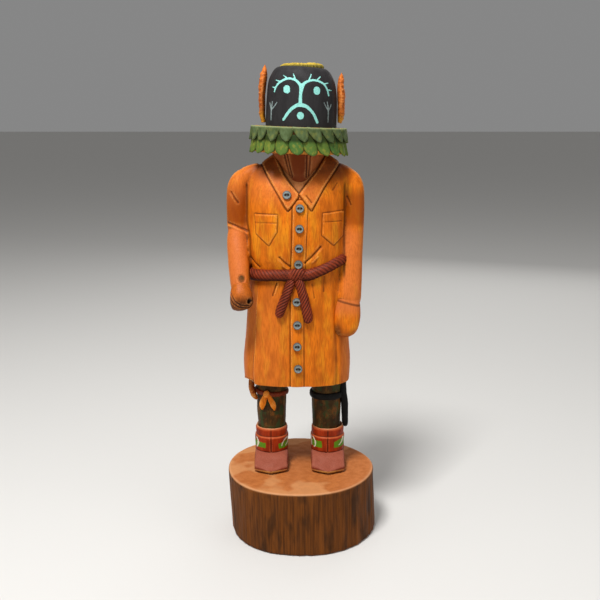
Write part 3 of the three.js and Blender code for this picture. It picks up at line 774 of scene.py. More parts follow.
def belt():
    """The rope round the waist, rising to the doll's left."""
    bare()
    bpy.ops.mesh.primitive_torus_add(
        major_segments=256, minor_segments=56, major_radius=2 * MM, minor_radius=MM, location=(0, 0, 0)
    )
    piece = made("belt")
    place = points(piece)
    across = np.hypot(place[:, 0], place[:, 1]) - 2
    height = place[:, 2]
    turn = np.arctan2(place[:, 1], place[:, 0])
    wide, deep = belt_line(turn)
    out = np.stack([wide, deep * 1.9], 1)
    out /= np.linalg.norm(out, axis=1)[:, None]
    steps = np.linspace(-np.pi, np.pi, 4001)
    line_x, line_y = belt_line(steps)
    run = np.concatenate([[0], np.cumsum(np.hypot(np.diff(line_x), np.diff(line_y)))])
    lays = round(run[-1] / LAY * STRANDS)
    length = np.interp(turn, steps, run) * (lays / STRANDS * LAY / run[-1])
    proud = strand(np.arctan2(height, across), length)
    radius = ROPE_RADIUS - 0.4 + 0.65 * proud
    middle_x, middle_y = -3.2 + wide, AXIS_Y + deep
    rise = BELT_RISE * ease(middle_x, 0, 28) - 0.8 * ease(middle_x, -12, -29)
    spot = np.stack([middle_x, middle_y, WAIST + rise], 1)
    spot[:, :2] += out * (radius * across)[:, None]
    spot[:, 2] += radius * height
    put(piece, spot)
    smooth(piece)
    knife(piece, 0.2, (4, 4, 4))
    laid(piece, proud)
    # Painted shade along the rope's underside.
    underside = ease(-height, 0.2, 0.8)
    return shaded_and_stained(piece, 0.75 * underside, 1 - underside)


def rope_end(name, keys):
    piece = loft(name, keys, 32, 1.2, 2)
    place = points(piece)
    middle = np.array(keys)[:, :3]
    axis = middle[-2] - middle[1]
    axis /= np.linalg.norm(axis)
    away = place - middle[2]
    length = away @ axis
    out = away - length[:, None] * axis
    side = np.cross(axis, (0, 1, 0))
    side /= np.linalg.norm(side)
    turn = np.arctan2(out @ np.cross(axis, side), out @ side)
    proud = strand(turn, -length)
    push(piece, 0.6 * proud - 0.4)
    knife(piece, 0.15, (4, 4, 4))
    return laid(piece, proud)


def knot():
    """A turn of the rope that crosses over the belt, its strands lying the other way."""
    piece = loft("knot", KNOT, 32, 1, 2)
    place = points(piece)
    turn = np.arctan2(place[:, 1], place[:, 0])
    proud = strand(turn, -place[:, 2])
    push(piece, 0.6 * proud - 0.4)
    place = points(piece)
    slope = math.radians(12)
    x, y, run = place.T
    across = -3.4 + run * math.cos(slope) - x * math.sin(slope)
    put(piece, np.stack([across, -16.6 + y, 161.8 + run * math.sin(slope) + x * math.cos(slope)], 1))
    outward(piece)
    return laid(piece, proud)


# ---- buttons ----

BUTTON_RADIUS = 2.45
HOLE_X = 0.85
BUTTONS = [
    (-8.9, 207), (-1.6, 199.6), (-1.8, 188.2), (-2.1, 177), (-2.4, 167.8), (-3.4, 145.8), (-3.1, 132.2),
    (-3.1, 119.4), (-2.6, 106),
]


def button():
    """One button at the origin, facing -Y, with a raised rim, a dished middle and two holes."""
    radius = BUTTON_RADIUS
    bare()
    upright = (math.pi / 2, 0, 0)
    bpy.ops.mesh.primitive_circle_add(vertices=40, radius=radius * MM, fill_type="NGON", rotation=upright)
    piece = made("button")
    edit(piece)
    bpy.ops.mesh.extrude_region_move(TRANSFORM_OT_translate={"value": (0, -1.1 * MM, 0)})
    for inset, sink in ((0.2, -0.14), (0.3, 0), (0.14, 0.14), (0.35, 0)):
        bpy.ops.mesh.inset(thickness=inset * MM, depth=-sink * MM)
    edited()
    outward(piece)
    bare()
    bpy.ops.mesh.primitive_cylinder_add(
        vertices=16, radius=0.48 * MM, depth=4 * MM, location=(-HOLE_X * MM, 0, 0), rotation=upright
    )
    drill = made("drill")
    edit(drill)
    bpy.ops.mesh.duplicate_move(TRANSFORM_OT_translate={"value": (2 * HOLE_X * MM, 0, 0)})
    edited()
    finish_with(piece, "BOOLEAN", object=drill, operation="DIFFERENCE", solver="EXACT")
    bpy.data.objects.remove(drill)
    sharp = math.radians(50)
    finish_with(piece, "BEVEL", width=0.08 * MM, segments=2, limit_method="ANGLE", angle_limit=sharp)
    crisp(piece, 40)
    place = points(piece)
    rim = np.hypot(place[:, 0], place[:, 2])
    hole = np.hypot(np.abs(place[:, 0]) - HOLE_X, place[:, 2])
    # A darker rim, and painted shade in the two holes.
    store(piece, "ring", ease(rim, radius - 0.5, radius - 0.3))
    store(piece, "bore", ease(hole, 0.75, 0.55))
    return piece


def buttons(coat):
    """A copy of the button on the coat at each place, turned to lie flat on it."""
    first = button()
    shape = points(first)
    copies = []
    for x, z in BUTTONS:
        _, spot, facing, _ = coat.ray_cast(Vector((x, -90, z)) * MM, Vector((0, 1, 0)))
        choose(first)
        bpy.ops.object.duplicate()
        copy = bpy.context.object
        facing = Vector((facing.x * 0.6, facing.y, facing.z * 0.6)).normalized()
        turn = Vector((0, -1, 0)).rotation_difference(facing).to_matrix()
        put(copy, shape @ np.array(turn).T + np.array(spot) / MM + np.array(facing) * 0.25)
        copies.append(copy)
    bpy.data.objects.remove(first)
    return joined("buttons", copies)


# ---- legs, garters and moccasins ----


def leg(side):
    around = LEG_RADIUS
    rows = [(60, around - 0.6, around - 0.6), (69, around - 0.3, around - 0.3), (78, around, around)]
    rows += [(90, around + 0.3, around + 0.2), (100, around + 0.4, around + 0.2)]
    keys = standing(LEGS[side], AXIS_Y, 2, rows)
    piece = loft("leg_" + side, keys, 48, 3, 1)
    knife(piece, 0.3, (5, 5, 9))
    return marked_hollows_and_ridges(piece, 8, 0.12)


def garter(side, z, fall, width, thickness):
    """A band round a leg, its middle at height z, falling a little to one side."""
    x = LEGS[side]
    middle = LEG_RADIUS + 0.3
    bare()
    bpy.ops.mesh.primitive_torus_add(
        major_segments=160, minor_segments=24, major_radius=middle * MM, minor_radius=MM, location=(0, 0, 0)
    )
    piece = made("garter_" + side)
    place = points(piece)
    turn = np.arctan2(place[:, 1], place[:, 0])
    reach = np.hypot(place[:, 0], place[:, 1])
    radius = middle + thickness * (reach - middle)
    height = np.sign(place[:, 2]) * np.abs(place[:, 2]) ** 0.7
    level = z + width / 2 * height + fall * np.cos(turn)
    put(piece, np.stack([x + radius * np.cos(turn), AXIS_Y + radius * np.sin(turn), level], 1))
    smooth(piece)
    knife(piece, 0.15, (3, 3, 2))
    return marked_hollows_and_ridges(piece, 6, 0.12)


BOW = [
    [
        (-27.6, -1, 81.6, 0.9, 0.9, 2), (-29.6, -0.6, 84, 1.8, 1.8, 2), (-31, 0.6, 88, 1.9, 2, 2),
        (-31.2, 2, 92.6, 1.8, 1.8, 2), (-30.6, 3, 96.4, 1.2, 1.2, 2),
    ],
    [
        (-24.6, -4, 75.8, 0.5, 0.5, 2), (-24.4, -4.6, 79.2, 2.2, 1.1, 2), (-23.2, -5.4, 83, 1.8, 1.1, 2),
        (-21.8, -6, 87.2, 1, 1, 2),
    ],
    [
        (-17, -5.8, 76, 0.5, 0.5, 2), (-17.6, -6.2, 79.2, 1.9, 1.1, 2), (-19.2, -6.2, 82.6, 1.6, 1.1, 2),
        (-21.4, -6.2, 87.2, 1, 1, 2),
    ],
    [
        (-21.9, -6, 84.2, 0.9, 0.8, 2), (-21.9, -6.2, 85.4, 2, 1.7, 2), (-21.8, -6.2, 87.2, 2, 1.7, 2),
        (-21.8, -6, 88.4, 0.9, 0.8, 2),
    ],
]
LEFT_TIE = [
    (26.6, 2.2, 63.2, 1.2, 0.9, 2), (26.4, 2, 64.8, 1.9, 1.4, 2.4), (25.8, 1.6, 79, 2.3, 1.5, 2.4),
    (24.9, 1.4, 84, 2.5, 2, 2), (24.6, 1.4, 88, 2.4, 2.2, 2), (25.2, 1.8, 96.4, 1.6, 1.4, 2),
]


def bow():
    parts = [loft("bow", keys, 20, 1.6, 1) for keys in BOW]
    piece = joined("bow", parts)
    knife(piece, 0.12, (2, 2, 3))
    store(piece, "loop", ease(points(piece)[:, 0], -27, -28.4))
    return marked_hollows_and_ridges(piece, 5, 0.1)


def tie():
    piece = loft("tie", LEFT_TIE, 20, 2, 2)
    knife(piece, 0.15, (2, 2, 4))
    return marked_hollows_and_ridges(piece, 5, 0.1)


MOCCASINS = {"right": (LEGS["right"] - 0.1, 10.2), "left": (LEGS["left"] + 0.8, 10.3)}
CUFF_FOOT = 58.4
# The wraps' painted panels, in front: green outlines of (x, z), and white strokes of (x, z, width).
GREEN = {
    "right": [
        [(-29.4, 55.4), (-29.4, 51.6), (-22.4, 51.8), (-22.6, 55)],
        [(-14.8, 54.2), (-14.4, 51.2), (-8, 51), (-8, 55.4), (-11.6, 55)],
    ],
    "left": [
        [(6, 56.4), (6, 52.2), (12, 51.8), (11.8, 56)],
        [(19.4, 55.6), (19.4, 51.8), (25.8, 52), (25.8, 57), (23, 56.8)],
    ],
}
WHITE = {
    "right": [
        [(-28.2, 57.4, 0.6), (-27.3, 55.6, 0.9), (-27.2, 53.6, 0.9), (-28, 51.4, 0.6)],
        [(-12.6, 52.6, 0.5), (-12, 55, 0.8), (-10.4, 56.6, 0.9), (-9.2, 56.4, 0.9)]
        + [(-9, 54, 0.8), (-10.4, 52, 0.6)],
    ],
    "left": [
        [(5.2, 58.8, 0.7), (5.4, 55, 1), (5.6, 51.6, 0.7)],
        [(6.6, 57.6, 0.7), (7.8, 55.4, 0.9), (7.9, 53, 0.8), (7.2, 51.4, 0.5)],
        [(22.4, 53, 0.5), (24, 54.6, 0.8), (25, 57.4, 0.8)],
    ],
}


def wrap(side):
    """An ankle wrap with a rolled lip, a cuff standing out of it and a seam down its front."""
    x, half = MOCCASINS[side]
    lip = CUFF_FOOT
    rows = [(45, half - 0.3, 10.6), (48.8, half - 0.1, 10.7), (49.5, half, 10.8), (54, half, 10.8)]
    rows += [(lip - 1, half + 0.1, 10.9), (lip - 0.2, half - 0.05, 10.8), (lip + 0.3, half - 0.7, 10.1)]
    rows += [(59.6, half - 0.5, 10.3), (62.8, half - 0.4, 10.4), (64, half - 1, 9.8)]
    keys = standing(x, AXIS_Y, 2.2, rows)
    piece = loft("wrap_" + side, keys, 52, 1.1, 2, level=True)
    place = points(piece)
    rim = np.hypot((place[:, 0] - x) / half, (place[:, 1] - AXIS_Y) / 10.6)
    place[:, 2] -= 1.6 * ease(rim, 0.88, 0.82) * ease(place[:, 2], 63, 63.8)
    put(piece, place)
    facing = normals(piece)
    seam = np.where(facing[:, 1] < 0.1, np.abs(place[:, 0] - x + 0.1), 9)
    push(piece, -0.5 * hump(seam, 0.6) * ease(place[:, 2], CUFF_FOOT + 0.4, CUFF_FOOT - 0.6))
    knife(piece, 0.2, (3, 3, 4))
    in_front = place[:, 1] < AXIS_Y - 2
    green = np.max([inside(place, outline) for outline in GREEN[side]], axis=0)
    store(piece, "green", np.where(in_front, green, -5))
    store(piece, "white", np.where(in_front, painted(place, WHITE[side]), -5))
    store(piece, "rim", ease(place[:, 2], 62.6, 63.4) * ease(rim, 0.97, 0.9))
    # A painted highlight on the rolled lip's upward faces.
    store(piece, "lip", ease(place[:, 2], CUFF_FOOT - 0.9, CUFF_FOOT - 0.4) * ease(facing[:, 2], 0.1, 0.5))
    # Painted shade, with pooled stain, along the wrap's foot, at the cuff's foot and down the seam.
    foot = hump(place[:, 2] - 49.2, 0.6) + 0.8 * hump(place[:, 2] - CUFF_FOOT - 0.5, 0.5)
    return shaded_and_stained(marked_hollows_and_ridges(piece, 6, 0.12), np.clip(np.maximum(foot, hump(seam, 0.6)), 0, 1), 1)


def shoe(side):
    """The foot of a moccasin: a wedge with a flat vamp, a blunt pointed toe and a thin sole."""
    x, _ = MOCCASINS[side]
    lengths = [
        (-16.9, 0.8, 2.2), (-14.9, 5.2, 3), (-12.8, 9.8, 4.4), (-10, 10.1, 7), (-7, 10.2, 9.6),
        (0, 10.3, 11), (8, 10, 11.4), (14, 9.2, 10), (17.4, 6.4, 7.6), (18.4, 3, 5.4),
    ]
    keys = [(x, y, SOLE + high / 2, wide, high / 2, 4.5) for y, wide, high in lengths]
    piece = loft("shoe_" + side, keys, 48, 1.2, 2)
    place, facing = points(piece), normals(piece)
    height = place[:, 2] - SOLE
    steep = ease(-np.abs(facing[:, 2]), -0.95, -0.7)
    welt = 0.35 * ease(height, 0.7, 1) * ease(height, 2.1, 1.7)
    push(piece, (welt - 0.5 * ease(height, 0.7, 0.3)) * steep)
    knife(piece, 0.14, (4, 4, 3))
    place = points(piece)
    place[:, 2] = np.maximum(place[:, 2], SOLE)
    put(piece, place)
    store(piece, "sole", ease(height, 2.1, 1.8) * ease(facing[:, 2], 0.75, 0.5))
    store(piece, "vamp", ease(facing[:, 2], 0.2, 0.5))
    marked_hollows_and_ridges(piece, 6, 0.12)
    # Painted shade low on the shoe's sides, just above the ground.
    return shaded_and_stained(piece, ease(height, 0.8, 0.5) * ease(facing[:, 2], 0.5, 0.2), 1)


# ---- the head ----

NECK = [
    (-1.8, 4, 206, 9, 13.2, 2.3), (-1.8, 4, 215.6, 8.8, 14.2, 2.4), (-1.8, 4, 218, 9.4, 14.6, 2.4),
    (-1.8, 4, 223.5, 13.4, 14, 2.3), (-1.8, 4, 233, 17, 13.4, 2.2),
]


def neck():
    piece = loft("neck", NECK, 56, 2, 2, level=True)
    place, facing = points(piece), normals(piece)
    front = ease(-facing[:, 1], 0, 0.3)
    cords = [
        [(-10.6, 230), (-7.4, 217.2)],
        [(-9, 230), (-6.1, 216.9)],
        [(2.5, 230), (2.3, 216.9)],
        [(4.6, 230), (3.6, 217.2)],
    ]
    gap = np.min([along(place, line) for line in cords], axis=0)
    push(piece, -front * 0.6 * hump(gap, 0.7))
    knife(piece, 0.15, (4, 4, 8))
    # Painted shadow of the ruff down the middle of the neck.
    throat_shadow = ease(place[:, 0], -7.4, -5.4) * ease(place[:, 0], 3.4, 1.6) * front
    store(piece, "throat_shadow", throat_shadow)
    return marked_hollows_and_ridges(piece, 8, 0.14)


def mask():
    """The case mask: a drum with a rounded shoulder."""
    profile = [
        (19.2, 231.5), (19.8, 237), (20.4, 244), (20.3, 250), (20.25, 256), (19.85, 264), (19, 269.6),
        (17.2, 273.6), (15.4, 276.2), (13.4, 277.8), (8, 278.2),
    ]
    keys = standing(HEAD_X, HEAD_Y, 2, [(z, radius, radius) for radius, z in profile])
    piece = loft("mask", keys, 86, 1.5, 2, level=True)
    place = points(piece)
    place[:, 0] += HEAD_LEAN * ease(place[:, 2], 246, 262)
    put(piece, place)
    front = place[:, 1] < HEAD_Y
    from_foot = place - (HEAD_X, 0, MASK_FOOT)
    for name, strokes in FACE.items():
        store(piece, name, np.where(front, painted(from_foot, strokes), -5))
    knife(piece, 0.12, (6, 6, 10))
    tilted(piece)
    return marked_hollows_and_ridges(piece, 8, 0.14)


# The face in turquoise paint: brush strokes through (x, height over the mask's visible foot, width).
FACE = {
    "turquoise": [
        [(-14.9, 18.6, 0.7), (-13.9, 21.4, 0.9), (-12.2, 23.5, 1), (-9.2, 25.3, 1.1)]
        + [(-6.2, 26, 1.1), (-3.2, 25.2, 1.2), (-1.1, 23.6, 1.5), (0.1, 21.3, 1.8)],
        [(15.4, 18, 0.7), (14.5, 21.1, 0.9), (12.9, 23.7, 1), (10.3, 25.2, 1.1)]
        + [(6.9, 25.8, 1.1), (3.9, 25, 1.2), (1.8, 23.8, 1.5), (0.4, 21.3, 1.8)],
        [(0.3, 22.4, 2.6), (0, 20, 2), (-0.3, 17.5, 1.6), (-0.4, 12, 2)],
        [(-9.8, 3.6, 1.2), (-8, 6.4, 1.5), (-5.6, 9.4, 1.6), (-2.6, 11.6, 1.9), (-0.2, 12.1, 2.1)]
        + [(2.7, 11.5, 1.9), (5.1, 9.7, 1.6), (7.3, 6.9, 1.5), (8.9, 3.2, 1.4)],
        [(-4.3, 28.6, 0.5), (-3.7, 27.1, 0.6), (-3.2, 25.7, 0.7)],
        [(-9.8, 27.6, 0.5), (-8.8, 26.9, 0.6), (-7.4, 26, 0.7)],
        [(-13.8, 24.9, 0.5), (-12.8, 24.6, 0.6), (-11.6, 24.2, 0.7)],
        [(-16.1, 21.2, 0.5), (-15.4, 21.1, 0.6), (-14.7, 20.8, 0.6)],
        [(5.6, 28.8, 0.5), (5, 27.3, 0.6), (4.4, 25.8, 0.7)],
        [(10.6, 27.9, 0.5), (9.9, 27.1, 0.6), (9, 26.2, 0.7)],
        [(14.9, 24.8, 0.5), (13.9, 24.5, 0.6), (12.7, 24.2, 0.7)],
        [(16.8, 20.9, 0.5), (15.9, 21, 0.6), (14.9, 21.1, 0.6)],
        [(-7.9, 19.7, 3.6), (-7.9, 20.5, 3.6)],
        [(8.7, 19.8, 3.6), (8.7, 20.6, 3.6)],
        [(-0.4, 6.2, 3.8), (-0.4, 6.4, 3.8)],
    ],
    "tracks": [
        [(-16.9, 3, 0.4), (-16.7, 8.3, 0.6), (-16.1, 13.2, 0.4)],
        [(-17.6, 12.6, 0.4), (-16.7, 8.6, 0.5)],
        [(-13.4, 12.9, 0.4), (-14.6, 11.2, 0.5), (-16.7, 8.6, 0.6)],
        [(15.1, 3.5, 0.4), (15.2, 9.7, 0.6), (14.6, 14.6, 0.4)],
        [(12.7, 14.1, 0.4), (13.8, 12, 0.5), (15.2, 9.9, 0.6)],
        [(16.9, 13.5, 0.4), (16.2, 11.6, 0.5), (15.2, 9.9, 0.6)],
    ],
}


def tuft():
    """The low tuft of cropped feathers on the crown."""
    rows = [(276, 12.6, 12.6), (277.6, 12.9, 12.9), (278.9, 12.3, 12.3), (279.8, 10.6, 10.6)]
    rows += [(CROWN - 0.1, 6.5, 6.5)]
    keys = standing(HEAD_X + HEAD_LEAN, HEAD_Y, 2, rows)
    piece = loft("tuft", keys, 72, 0.7, 2, level=True)
    place = points(piece)
    turn = np.arctan2(place[:, 1] - HEAD_Y, place[:, 0] - HEAD_X)
    reach = np.hypot(place[:, 0], place[:, 1])
    push(piece, 0.9 * waves_round(turn, 9, reach / 4) - 0.3)
    place = points(piece)
    place[:, 2] = np.minimum(place[:, 2], CROWN)
    put(piece, place)
    store(piece, "margin", ease(place[:, 2], 279, 278.3))
    return marked_hollows_and_ridges(piece, 5, 0.2)


def ruff_place(angle, height, radius):
    """A spot on the ruff by its turn, height and radius, hung a little lower on the doll's left."""
    x = RUFF_X + radius * np.cos(angle)
    y = HEAD_Y + RUFF_DEPTH * radius * np.sin(angle)
    return np.stack([x, y, height - RUFF_TILT * (x - HEAD_X)], 1)


def ruff_core():
    """The drum of bare wood that the leaves are carved on."""
    rows = [(229.9, 24), (230.2, 26.2), (231, 26.6), (235, 26.4), (241, 26.2), (244, 26.4), (244.7, 25.8)]
    keys = standing(0, 0, 2, [(z, radius, radius) for z, radius in rows])
    piece = loft("ruff_core", keys, 96, 1.6, 1, level=True)
    place = points(piece)
    turn = np.arctan2(place[:, 1], place[:, 0])
    put(piece, ruff_place(turn, place[:, 2], np.hypot(place[:, 0], place[:, 1])))
    # Painted shade on the drum where it shows in the gaps behind the leaves.
    store(piece, "shadowed", ease(place[:, 2], 234.2, 235.4) * ease(place[:, 2], 244.3, 243.6))
    store(piece, "topped", ease(place[:, 2], 243.8, 244.3))
    return marked_hollows_and_ridges(piece, 6, 0.12)


LEAF_SEED = 4


def leaf():
    """One leaf as a thin square shield: x across (-1 to 1), z from its foot (0) down to its tip (-1)."""
    bare()
    bpy.ops.mesh.primitive_grid_add(x_subdivisions=9, y_subdivisions=12, size=2 * MM, location=(0, 0, 0))
    piece = made("leaf")
    place = points(piece)
    put(piece, np.stack([place[:, 0], 0 * place[:, 0], (place[:, 1] - 1) / 2], 1))
    return piece


def leaves():
    """Two staggered rows of the same leaf carved round the ruff, each bowed across and proud at its tip."""
    noise.seed_set(LEAF_SEED)
    first = leaf()
    shape = points(first)
    # Each row: its turn in leaves, top, tip, radius at both, where and how a leaf narrows, and its pivot.
    rows = (
        (-0.19, RUFF_TOP + 0.1, RUFF_TIPS[0] - 0.4, 26.8, 28.0, 0.1, 2.3, 0.62, 0.0),
        (-0.43, RUFF_TIPS[0] + 3.6, RUFF_TIPS[1] - 0.3, 26.2, 27.9, 0.5, 3.0, 0.5, 0.6),
    )
    made_leaves = []
    pitch = 2 * np.pi / LEAVES
    unit, down = shape[:, 0], np.clip(-shape[:, 2], 0, 1)
    for row, (shift, top, tip, inner, outer, start, power, blunt, pivot) in enumerate(rows):
        kept_width = np.maximum((1 - (np.clip(down - start, 0, 1) / (1 - start)) ** power) ** blunt, 0.06)
        across = unit * kept_width
        for i in range(LEAVES):
            choose(first)
            bpy.ops.object.duplicate()
            copy = bpy.context.object
            chance = Vector(noise.noise_vector(Vector((i * 7.3, row * 3.1, 0.5))))
            slant = 0.42 * ease(math.cos(pitch * (i + shift)), -0.4, 0.2)
            skew = (0.1 * chance.y + slant) * (down - pivot)
            angle = pitch * (i + shift + 0.05 * chance.x + 0.56 * across + skew)
            bow_out = 0.9 * (1 - unit**2) - 0.5 * unit**4
            radius = inner + (outer - inner) * down**1.3 + bow_out
            height = top + (tip + 0.6 * chance.z - top) * down
            put(copy, ruff_place(angle, height, radius))
            # The leaf edges take painted shade, and how far down each leaf is sets a painted highlight at the
            # top of the upper row and painted shade at the top of the lower row.
            store(copy, "margin", np.abs(unit) * ease(down, -0.1, 0.3))
            store(copy, "down", down)
            store(copy, "chance", np.full(len(shape), 0.5 + 1.4 * chance.x))
            store(copy, "row", np.full(len(shape), row))
            made_leaves.append(copy)
    bpy.data.objects.remove(first)
    piece = joined("leaves", made_leaves)
    outward(piece)
    finish_with(piece, "SOLIDIFY", thickness=1.3 * MM, offset=-1)
    subdivided(piece, 1)
    smooth(piece)
    knife(piece, 0.2, (2, 2, 3))
    return marked_hollows_and_ridges(piece, 3, 0.12)


EAR_HALF_WIDTH = 5.6
# Each ear's steps: height, distance of its inner face from the head's axis, thickness, share of its width.
EARS = {
    "right": [
        (246.1, 20.5, 2.4, 0.42), (250, 20.5, 3.5, 0.62), (257.4, 20.5, 3.8, 0.95), (263.8, 20.2, 4.1, 1),
        (270.2, 19.4, 4.5, 0.82), (275, 19.2, 3.1, 0.45), (278.2, 20.3, 0.5, 0.08),
    ],
    "left": [
        (248, 20.9, 2.5, 0.42), (251.3, 20.9, 3.8, 0.62), (257.8, 20.9, 4.4, 0.95), (263.3, 20.8, 4.5, 1),
        (268.9, 20.6, 4.2, 0.82), (273.1, 21.4, 2.8, 0.45), (275.9, 23.1, 0.5, 0.08),
    ],
}


def ear(which):
    """A leaf-shaped ear, flat towards the mask, with roughly carved ridges across its outer face."""
    side = 1 if which == "left" else -1
    keys = []
    for height, inner, thick, share in EARS[which]:
        x = HEAD_X + side * (inner + thick / 2)
        keys.append((x, HEAD_Y, height, thick / 2, EAR_HALF_WIDTH * share, 2.1))
    piece = loft("ear_shell_" + which, keys, 48, 0.7, 1)
    tilted(piece)
    place, facing = points(piece), normals(piece)
    outer = ease(side * facing[:, 0], -0.2, 0.4)
    rough = waves(np.stack([place[:, 1] / 5, place[:, 2] / 1.5, np.full(len(place), side * 3.0)], 1))
    push(piece, outer * (0.42 * rough - 0.12))
    knife(piece, 0.3, (3, 3, 5))
    foot = place[:, 2] - place[:, 2].min()
    store(piece, "foot", ease(foot, 9, 2) if side < 0 else ease(foot, 6, 1.5))
    return marked_hollows_and_ridges(piece, 5, 0.16)


# ---- finishes ----


def linear(code):
    """An sRGB hex colour as linear light."""
    parts = [int(code[i : i + 2], 16) / 255 for i in (0, 2, 4)]
    return tuple(p / 12.92 if p <= 0.04045 else ((p + 0.055) / 1.055) ** 2.4 for p in parts) + (1,)


def add(tree, kind, inputs, output=0, **settings):
    """Adds a node with its settings and links, and gives one of its outputs. Inputs are numbers, vectors,
    sRGB hex colours or other nodes' outputs."""
    node = tree.nodes.new("ShaderNode" + kind)
    for key, value in settings.items():
        setattr(node, key, value)
    for socket, value in inputs.items():
        if isinstance(value, bpy.types.NodeSocket):
            tree.links.new(value, node.inputs[socket])
        else:
            node.inputs[socket].default_value = linear(value) if isinstance(value, str) else value
    return node.outputs[output]


def marks(tree, across, length, detail=3.0, rough=0.5):
    """Uneven marks about across mm wide and length mm tall, from 0 to 1."""
    spot = add(tree, "TexCoord", {}, "Object")
    scale = (1 / (across * MM), 1 / (across * MM), 1 / (length * MM))
    stretched = add(tree, "Mapping", {"Vector": spot, "Scale": scale})
    return add(tree, "TexNoise", {"Vector": stretched, "Scale": 1.0, "Detail": detail, "Roughness": rough})


def cover(tree, source, start=0.0, end=1.0, most=1.0):
    """How much of a paint shows: none where the source is at start, the share called most where it is at
    end. The source is a number kept on the piece, by name, or marks as (mm across, mm tall, detail), or an
    output."""
    if isinstance(source, str):
        source = add(tree, "Attribute", {}, "Fac", attribute_name=source)
    elif isinstance(source, tuple):
        source = marks(tree, *source)
    bend = "LINEAR" if (start, end) == (0, 1) else "SMOOTHSTEP"
    return add(tree, "MapRange", {0: source, 1: start, 2: end, 3: 0.0, 4: most}, interpolation_type=bend)


def lay(tree, under, paint, source, start=0.0, end=1.0, most=1.0):
    """Lays a paint over another as far as it covers."""
    share = cover(tree, source, start, end, most)
    return add(tree, "Mix", {0: share, 6: under, 7: paint}, 2, data_type="RGBA")


def brush(tree, under, paint, name, specks, ragged, soft):
    """Lays a paint inside an outline, its signed distance kept by name, its edge made ragged by specks."""
    distance = add(tree, "Attribute", {}, "Fac", attribute_name=name)
    uneven = marks(tree, specks, specks, 3)
    distance = add(tree, "Math", {0: uneven, 1: ragged, 2: distance}, operation="MULTIPLY_ADD")
    return lay(tree, under, paint, distance, ragged / 2 - soft, ragged / 2 + soft)


def material(name, roughness, specular=0.5):
    finish = bpy.data.materials.new(name)
    finish.use_nodes = True
    shader = finish.node_tree.nodes["Principled BSDF"]
    shader.inputs["Roughness"].default_value = roughness
    shader.inputs["Specular IOR Level"].default_value = specular
    return finish, finish.node_tree, shader


def wood(
    name, paint, deep, rubbed_and_lit, roughness=0.5, layers=(), grain=(0.5, 9), wash=0.85, wear=0.55, bump=0.12,
    warm=None, mottle=0.5, specular=0.15,
):
    """Stain or thin paint on carved wood: streaked along the grain, darkened in the hollows by pooled stain
    and painted shade, paler on the ridges from rubbing and a painted highlight. layers are (kept name,
    colour) painted over the ground in turn. The grain is drawn some three times as coarse as cottonwood's,
    so that it shows."""
    finish, tree, shader = material(name, roughness, specular)
    streaks = marks(tree, *grain, 4)
    blotches = marks(tree, 4, 12, 4)
    specks = marks(tree, 0.45, 0.7, 2)
    colour = lay(tree, paint, deep, blotches, 0.36, 0.7, 0.7)
    if warm:
        colour = lay(tree, colour, warm, (5, 17, 3), 0.46, 0.66, 0.45)
    colour = lay(tree, colour, deep, streaks, 0.42, 0.68, mottle)
    thin = add(tree, "MapRange", {0: blotches, 1: 0.35, 2: 0.65, 3: 1.0, 4: 0.78})
    for kept_name, layer in layers:
        streaked = lay(tree, layer, deep, streaks, 0.42, 0.68, 0.35)
        colour = lay(tree, colour, streaked, kept_name, most=thin)
    # Painted shade in the hollows, laid with the dark stain that pools there.
    colour = lay(tree, colour, "200D03", "wash", 0.05, 0.75, 0.8 * wash)
    # Paler ridges from rubbing, with a painted highlight on them.
    colour = lay(tree, colour, rubbed_and_lit, "wear", 0.15, 0.8, cover(tree, specks, 0.35, 0.6, wear))
    rough = add(tree, "MapRange", {0: blotches, 1: 0.3, 2: 0.7, 3: roughness - 0.07, 4: roughness + 0.1})
    tree.links.new(rough, shader.inputs["Roughness"])
    height = add(tree, "Math", {0: specks, 1: 0.5, 2: streaks}, operation="MULTIPLY_ADD")
    raised = add(tree, "Bump", {"Height": height, "Distance": bump * MM, "Strength": 0.9})
    tree.links.new(raised, shader.inputs["Normal"])
    return finish, tree, colour


def coloured(finish, tree, colour):
    """Gives a finish its colour."""
    tree.links.new(colour, tree.nodes["Principled BSDF"].inputs["Base Color"])
    return finish


def painted_wood(*paints, **settings):
    return coloured(*wood(*paints, **settings))


